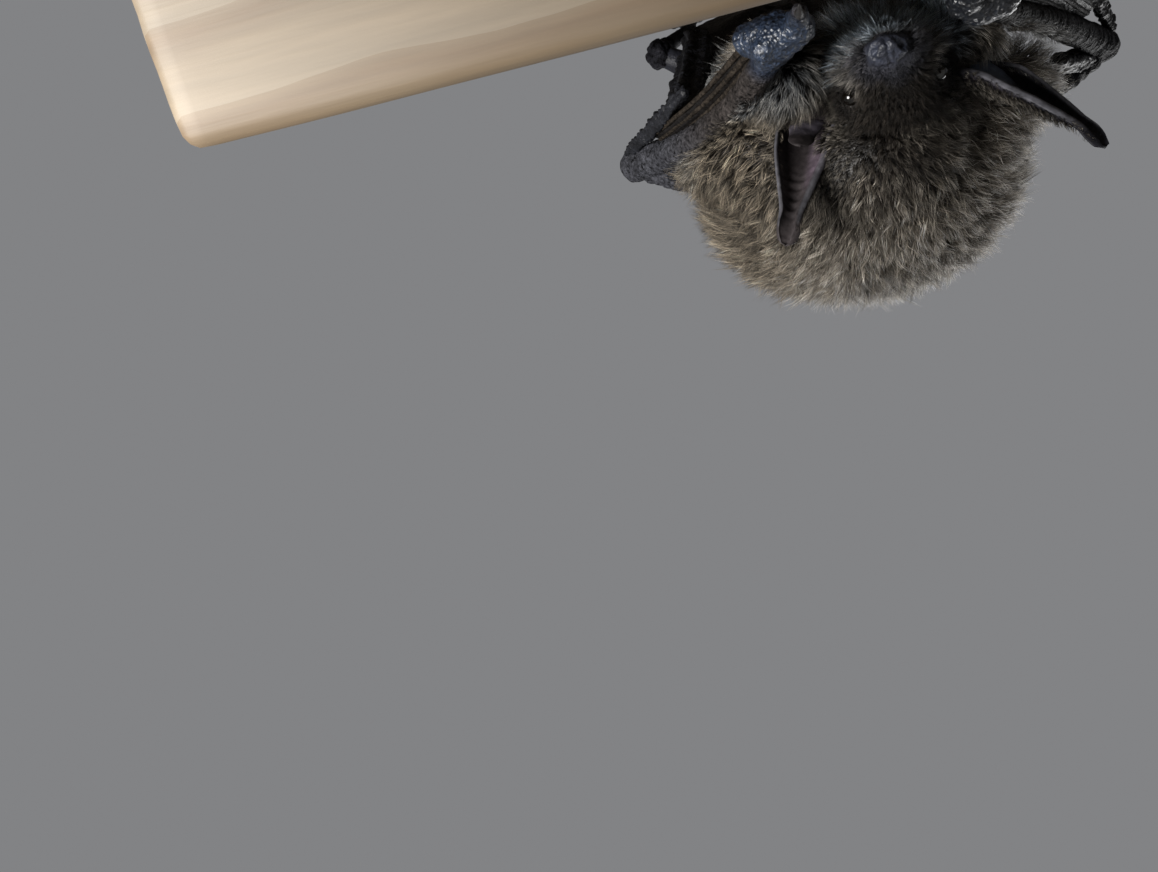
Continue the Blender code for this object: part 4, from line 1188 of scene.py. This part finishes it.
def coat_depth(points):
    """How far the coat's tips stand over the skin."""
    b, a, x = in_head(points)
    reach = np.hypot(a, x) + 1e-6
    top, chin = np.clip(a / reach, 0, 1) ** 2, np.clip(0.25 - 1.25 * a / reach, 0, 1)
    cheek = 1 - np.maximum(top, chin)
    on_head = top * np.interp(b, *TOP_COAT)
    on_head += cheek * np.interp(b, *CHEEK_COAT)
    on_head += chin * np.interp(b, *CHIN_COAT)
    share = smooth(15.0, 24.0, b)
    depth = on_head * (1 - share) + trunk_coat(points[:, 2] - NOSE_HEIGHT) * share
    depth = depth * (0.3 + 0.7 * smooth(10.0, 18.0, from_elbows(points)))
    depth = depth * (0.2 + 0.8 * smooth(7.0, 17.0, from_knees(points)))
    depth = depth * (0.27 + 0.73 * smooth(1.25, 2.9, from_eyes(points)))
    return depth * (1 - 0.55 * beside_ear(points))


def ear_back_share(points, normals, side):
    """1 over the furred lower half of an ear's back, and over its front wall to just short of the rim."""
    _, _, across, facing = ear_frame(side)
    up, out, _, forward = in_ear(points, side)
    wall = smooth(0.25, 0.7, -normals @ across) * smooth(0.0, -0.5, out) * smooth(14.5, 9.0, up)
    wall = wall * smooth(0.36, 0.22, forward)
    back = smooth(-0.1, -0.5, normals @ facing) * smooth(9.0, 3.0, up)
    return np.maximum(back, wall) * smooth(-1.5, 0.5, up)


def arm_fringe_share(points, normals, side):
    """1 along the forearm's inner edge, where the coat runs out on to it."""
    share, beside = in_forearm(points, side)
    inwards = normals @ unit(arm_inwards(side))
    stretch = smooth(0.14, 0.3, share) * smooth(0.72, 0.52, share)
    return stretch * smooth(-0.05, 0.4, inwards) * smooth(5.2, 4.4, beside)


def coat_lie(points, normals):
    """The direction in which the coat lies, along the skin."""
    b, _, x = in_head(points)
    axis = NOSE - FORWARD * b[:, None]
    outwards = unit(points - axis)
    on_neck_side = 0.9 * HEAD_UP + 0.5 * np.sign(x)[:, None] * HEAD_LEFT - 0.3 * FORWARD
    on_head = mixed(-FORWARD + 0.55 * outwards, on_neck_side, smooth(6.0, 8.0, np.abs(x)))
    x_way = points[:, :1]
    on_trunk = vec(0.0, 0.0, 1.0) + 0.25 * vec(1.0, 0.0, 0.0) * np.sign(x_way) * smooth(2, 9, np.abs(x_way))
    lie = mixed(on_head, on_trunk, smooth(15.0, 26.0, b))
    swirl = np.stack([noise(points + 40 * k, 7.0) for k in range(3)], 1)
    lie = lie + 0.38 * swirl
    return unit(lie - normals * (lie * normals).sum(1, keepdims=True))


def turned(direction, normal, angle):
    angle = angle[:, None]
    return direction * np.cos(angle) + np.cross(normal, direction) * np.sin(angle)


PER_TUFT = ("paths", "roots", "normals", "widths", "shade", "grizzle")


class Coat:
    """Tufts gathered as arrays: roots, their skin normals, and the points along each."""

    def __init__(self, roots, normals, lie, depths, width, levels, lift=(52.0, 14.0), pull=0.6):
        count = len(roots)
        centres = roots[rng.choice(count, max(1, count // CLUMP_TUFTS), replace=False)]
        tree = KDTree(len(centres))
        for k, centre in enumerate(centres):
            tree.insert(centre, k)
        tree.balance()
        clump = np.array([tree.find(r)[1] for r in roots])
        clump_turn = rng.normal(0.0, math.radians(24), len(centres))[clump]
        clump_lift = rng.normal(0.0, math.radians(8), len(centres))[clump]
        clump_size = rng.uniform(0.85, 1.12, len(centres))[clump]
        lie = turned(lie, normals, clump_turn + rng.normal(0.0, math.radians(9), count))
        stand = 14.0 * smooth(13.0, 6.0, in_head(roots)[0])
        lift = np.stack([np.full(count, lift[0]) + 0.6 * stand, np.full(count, lift[1]) + stand], 1)
        lengths = depths / np.sin(np.radians(lift.mean(1))) * clump_size * rng.uniform(0.7, 1.05, count)
        share = np.linspace(0, 1, levels)
        steps = [roots]
        sway = rng.normal(0.0, 0.22, count)
        for k in range(1, levels):
            middle = (share[k - 1] + share[k]) / 2
            rise = np.radians(lift[:, 0] + (lift[:, 1] - lift[:, 0]) * middle) + clump_lift
            side = turned(lie, normals, sway * math.sin(middle * 5.0))
            step = side * np.cos(rise)[:, None] + normals * np.sin(rise)[:, None]
            steps.append(steps[-1] + step * (lengths * (share[k] - share[k - 1]))[:, None])
        paths = np.stack(steps, 1)
        tips = np.zeros((len(centres), 3))
        np.add.at(tips, clump, paths[:, -1])
        tips = tips / np.bincount(clump, minlength=len(centres))[:, None]
        gather = (tips[clump] - paths[:, -1])[:, None] * (share**1.6)[None, :, None] * pull
        self.paths = paths + gather
        self.roots, self.normals, self.share = roots, normals, share
        self.widths = width * rng.uniform(0.7, 1.3, count)
        self.shade = rng.uniform(0.5, 1.45, len(centres))[clump] * rng.uniform(0.55, 1.45, count)
        grizzle = rng.normal(0.5, 0.5, len(centres))[clump] + rng.normal(0.0, 0.45, count)
        self.grizzle = np.clip(grizzle, 0.0, 1.7)

    def keep(self, chosen):
        for name in PER_TUFT:
            setattr(self, name, getattr(self, name)[chosen])

    def part(self, chosen):
        """The chosen tufts as a coat of their own."""
        made = object.__new__(Coat)
        vars(made).update(vars(self))
        made.keep(chosen)
        return made

    def clear_of(self, trees):
        """Shortens tufts that would run into an ear, an arm or an eye, and drops what would be stubs."""
        full = self.paths[:, -1] - self.paths[:, 0]
        reach = np.linalg.norm(full, axis=1)
        allowed = np.ones(len(full))
        starts = self.paths[:, 0] + 0.06 * self.normals
        for k, (start, way, length) in enumerate(zip(starts, unit(full), reach)):
            for tree in trees:
                hit = tree.ray_cast(Vector(start), Vector(way), float(length))
                if hit[0] is not None:
                    allowed[k] = min(allowed[k], 0.92 * hit[3] / length)
        self.paths = self.paths[:, :1] + (self.paths - self.paths[:, :1]) * allowed[:, None, None]
        self.keep(allowed > SHORTEST_TUFT)

    def mesh(self, name, material, unwrap):
        """Three-sided spikes along the paths, closed at the root, with their colours and bake map."""
        count, levels = self.paths.shape[:2]
        ahead = unit(np.gradient(self.paths, axis=1))
        over = unit(np.cross(ahead, self.normals[:, None]))
        above = np.cross(over, ahead)
        taper = np.clip(1 - self.share**1.5, 0, 1) * (0.75 + 0.5 * self.share)
        size = self.widths[:, None] / 2 * taper
        rings = []
        for turn in (90.0, 210.0, 330.0):
            c, s = math.cos(math.radians(turn)), math.sin(math.radians(turn))
            rings.append(self.paths + over * (size * c)[..., None] + above * (size * s * 0.8)[..., None])
        body = np.stack(rings, 2)[:, :-1].reshape(count, -1, 3)
        points = np.concatenate([body, self.paths[:, -1:]], 1)
        each = points.shape[1]
        faces = [(0, 1, 2)]
        for k in range(levels - 2):
            for j in range(3):
                a, b = 3 * k + j, 3 * k + (j + 1) % 3
                faces += [(a, b + 3, b), (a, a + 3, b + 3)]
        top = 3 * (levels - 2)
        faces += [(top + j, each - 1, top + (j + 1) % 3) for j in range(3)]
        triangles = (np.array(faces)[None] + (np.arange(count) * each)[:, None, None]).reshape(-1, 3)
        along = np.append(np.repeat(self.share[:-1], 3), 1.0)
        tones = [coat_tone(self.roots, np.full(count, s), self.shade, self.grizzle) for s in along]
        shape = points.reshape(-1, 3), triangles
        return coat_mesh(name, material, shape, np.stack(tones, 1).reshape(-1, 3), unwrap(self.roots), each)


def coat_mesh(name, material, shape, tones, places, each):
    """A piece of the coat. places are its tufts' roots in the bake map, and each is a tuft's points."""
    points, triangles = shape
    mesh = bpy.data.meshes.new(name)
    mesh.vertices.add(len(points))
    mesh.vertices.foreach_set("co", (points * MM).astype(np.float32).ravel())
    mesh.loops.add(triangles.size)
    mesh.loops.foreach_set("vertex_index", triangles.astype(np.int32).ravel())
    mesh.polygons.add(len(triangles))
    mesh.polygons.foreach_set("loop_start", np.arange(0, triangles.size, 3, dtype=np.int32))
    mesh.polygons.foreach_set("use_smooth", np.ones(len(triangles), bool))
    mesh.update(calc_edges=True)
    set_tint(mesh, tones)
    corner = np.arange(each) / (each - 1)
    patch = np.stack([corner, np.abs(np.arange(each) % 3 - 1.0)], 1) * BAKE_PATCH
    where = (places[:, None] + patch[None]).reshape(-1, 2)[triangles.ravel()]
    mesh.uv_layers.new(name="OFBake").data.foreach_set("uv", where.astype(np.float32).ravel())
    mesh.materials.append(material)
    return mesh


def body_unwrap(roots):
    """Around the body's long axis, cut along the belly, and up from the nose to the rump."""
    low, high = NOSE_HEIGHT - 3.0, NOSE_HEIGHT + 76.0
    up = np.clip((roots[:, 2] - low) / (high - low), 0, 1)
    middle = np.interp(roots[:, 2] - NOSE_HEIGHT, [0, 20, 40, 72], [-10.0, -22.0, -29.5, -19.0])
    around = np.arctan2(roots[:, 0], middle - roots[:, 1]) / (2 * np.pi) + 0.5
    return np.stack([around, up], 1) * (1 - 2 * BAKE_PATCH) + BAKE_PATCH / 2


# ---------------------------------------------------------------- the bat put together


def tree_of(*shapes):
    points, faces = joined(shapes)
    return BVHTree.FromPolygons(points.tolist(), faces)


def show(name, mesh, replaced=()):
    piece = link(name, mesh)
    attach(piece, "root")
    if replaced:
        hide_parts(*replaced)
    return piece


def both(*names):
    return [f"{name}_{side}" for name in names for side in SIDE_NAMES.values()]


def fill(mesh, material):
    mesh.materials.append(material)
    mesh.shade_smooth()
    return mesh


def build_bat():
    torso = torso_shape()
    ears = {side: (ear_shape(side), tragus_shape(side)) for side in SIDES}
    arms = {side: arm_shape(side) for side in SIDES}
    islands = bat_skin_islands(torso, ears, arms)
    flesh = both(
        "ear", "tragus", "upper_arm", "forearm", "wrist", "thumb", "finger_3", "finger_4", "finger_5",
        "wing_folds", "wing_membrane", "thigh", "shin", "foot", "tail_membrane",
    )
    flesh += ["head", "lower_jaw", "neck", "trunk", "tail"]
    show("bat_skin", island_mesh(islands), flesh)
    eyes = joined([ball(eye, (EYE_SIZE,) * 3) for eye in EYES])
    show("bat_eyes", fill(to_mesh("bat_eyes", eyes), eye_black), both("eye"))
    claws = [shape for side in SIDES for shape in [thumb_claw_shape(side), *toe_claw_shapes(side)]]
    show("bat_claws", fill(to_mesh("bat_claws", joined(claws)), claw_horn), both("thumb_claw"))
    build_coat(torso, ears, arms, islands)


def build_coat(torso, ears, arms, islands):
    around = [s for s, material, _ in islands if material is not body_skin]
    trees = [tree_of(*around), tree_of(*[ball(eye, (EYE_SIZE + EYE_GAP,) * 3) for eye in EYES])]
    roots, normals = scattered(torso, COAT_TUFTS, coat_density)
    depths, lies = coat_depth(roots), coat_lie(roots, normals)
    for side in SIDES:
        edges = (
            (ears[side][0], EAR_TUFTS, ear_back_share, 0.6, ear_frame(side)[1]),
            (arms[side], ARM_TUFTS[side], arm_fringe_share, 0.9, vec(0.6 * side, 0.6, 0.1)),
        )
        for shape, count, share, depth, way in edges:
            more, outwards = scattered(shape, count, share, side)
            way = unit(way - outwards * (outwards @ way)[:, None])
            roots, normals = np.vstack([roots, more]), np.vstack([normals, outwards])
            lies = np.vstack([lies, way])
            depths = np.append(depths, np.full(count, depth))
    long_ones = rng.random(len(roots)) < GUARD_SHARE
    width = 0.05 + 0.012 * depths
    fine = Coat(roots, normals, lies, depths, width, 3)
    fine.keep(~long_ones)
    guard = Coat(roots, normals, lies, depths * 1.08, width * 0.9, 4, (56.0, 20.0), 0.35)
    guard.keep(long_ones)
    guard.grizzle = guard.grizzle + 0.3
    for layer, label in ((fine, "coat"), (guard, "guard_hairs")):
        layer.clear_of(trees)
        order = np.argsort(layer.roots[:, 2], kind="stable")
        per_piece = PIECE_TRIANGLES // (6 * len(layer.share) - 8)
        for k, start in enumerate(range(0, len(order), per_piece)):
            piece = layer.part(order[start : start + per_piece])
            name = f"{label}_{k + 1}"
            show(name, piece.mesh(name, coat_hair, body_unwrap))


# ---------------------------------------------------------------- the joist and the stand


def joist_mesh():
    """The joist's block with softened edges and a slightly uneven sawn surface."""
    low, high = (np.array(corner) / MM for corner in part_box("perch_joist"))
    size = high - low
    mesh = bmesh.new()
    points, faces, start = [], [], 0
    for axis in range(3):
        u, v = (axis + 1) % 3, (axis + 2) % 3
        nu, nv = (int(size[k] / JOIST_SPACING) + 1 for k in (u, v))
        for end in (0, 1):
            grid = np.zeros((nu, nv, 3))
            grid[..., u] = np.linspace(low[u], high[u], nu)[:, None]
            grid[..., v] = np.linspace(low[v], high[v], nv)[None]
            grid[..., axis] = high[axis] if end else low[axis]
            points.append(grid.reshape(-1, 3))
            i, k = np.meshgrid(np.arange(nu - 1), np.arange(nv - 1), indexing="ij")
            a = (i * nv + k + start).ravel()
            quads = np.stack([a, a + nv, a + nv + 1, a + 1] if end else [a, a + 1, a + nv + 1, a + nv], 1)
            faces += quads.tolist()
            start += nu * nv
    points = np.vstack(points)
    inner = np.clip(points, low + JOIST_ROUNDING, high - JOIST_ROUNDING)
    points = inner + unit(points - inner) * JOIST_ROUNDING
    sawn = 0.12 + 0.12 * noise(points * vec(0.12, 1.0, 1.0), 2.5)
    points = points - unit(points - inner) * sawn[:, None]
    data = to_mesh("joist", (points, faces))
    mesh.from_mesh(data)
    bmesh.ops.remove_doubles(mesh, verts=mesh.verts, dist=0.02 * MM)
    mesh.to_mesh(data)
    mesh.free()
    return data


coat_hair = coat_material()
eye_black = eye_material()
claw_horn = claw_material()
joist_pine = joist_material()

build_bat()
show("joist_block", fill(joist_mesh(), joist_pine), ["perch_joist"])
for node, material in (
    ("stand_base", base_material()),
    ("stand_rod_left", steel_material()),
    ("stand_rod_right", steel_material()),
):
    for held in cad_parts[node].material_slots:
        held.material = material


# ---------------------------------------------------------------- camera, lights and floor

CAMERA_AT = vec(14.0, -4.0, 22.0)
CAMERA_AXES = (  # right, up and backwards, as the photo looks up along the joist
    (-0.9648, -0.2391, 0.1092),
    (-0.1821, 0.9076, 0.3783),
    (-0.1896, 0.3451, -0.9192),
)


def make_camera():
    data = bpy.data.cameras.new("camera")
    data.sensor_width = 36.0
    data.lens = 33.7
    data.clip_start = 0.001
    camera = bpy.data.objects.new("camera", data)
    bpy.context.scene.collection.objects.link(camera)
    turn = Matrix(CAMERA_AXES).transposed().to_4x4()
    camera.matrix_world = Matrix.Translation(Vector(CAMERA_AT * MM)) @ turn
    bpy.context.scene.camera = camera


def area_light(name, at, target, size, power, colour=(1.0, 1.0, 1.0)):
    data = bpy.data.lights.new(name, "AREA")
    data.shape, data.size, data.energy, data.color = "DISK", size * MM, power, colour
    light = bpy.data.objects.new(name, data)
    light.visible_camera = False
    bpy.context.scene.collection.objects.link(light)
    way = Vector(target) - Vector(at)
    turn = way.to_track_quat("-Z", "Y").to_matrix().to_4x4()
    light.matrix_world = Matrix.Translation(Vector(at) * MM) @ turn


def make_stage():
    corners = vec(*[(x, y, 0.0) for x in (-3000, 3000) for y in (-3000, 3000)])
    floor_mesh = to_mesh("floor", (corners, [(0, 2, 3, 1)]))
    floor_mesh.materials.append(floor_material())
    floor = link("floor", floor_mesh)
    world = bpy.data.worlds.new("studio")
    bpy.context.scene.world = world
    world.use_nodes = True
    background = world.node_tree.nodes["Background"]
    plug(world.node_tree, background, ("Color", (0.86, 0.87, 0.90, 1.0)), ("Strength", 0.26))
    area_light("key", (105.0, -10.0, 42.0), (4.0, -24.0, 145.0), 70.0, 0.46, (1.0, 0.98, 0.95))
    area_light("top", (-250.0, -350.0, 520.0), (0.0, 0.0, 130.0), 400.0, 2.0)
    bpy.context.scene.view_settings.view_transform = "Standard"


def floor_material():
    made, tree, shader = new_material("floor_pale")
    colour = ramp(tree, grain(tree, 9.0, 2.0), [(0.3, (0.66, 0.65, 0.63)), (0.7, (0.70, 0.69, 0.67))])
    plug(tree, shader, ("Base Color", colour), ("Roughness", 0.8))
    return made


make_camera()
make_stage()
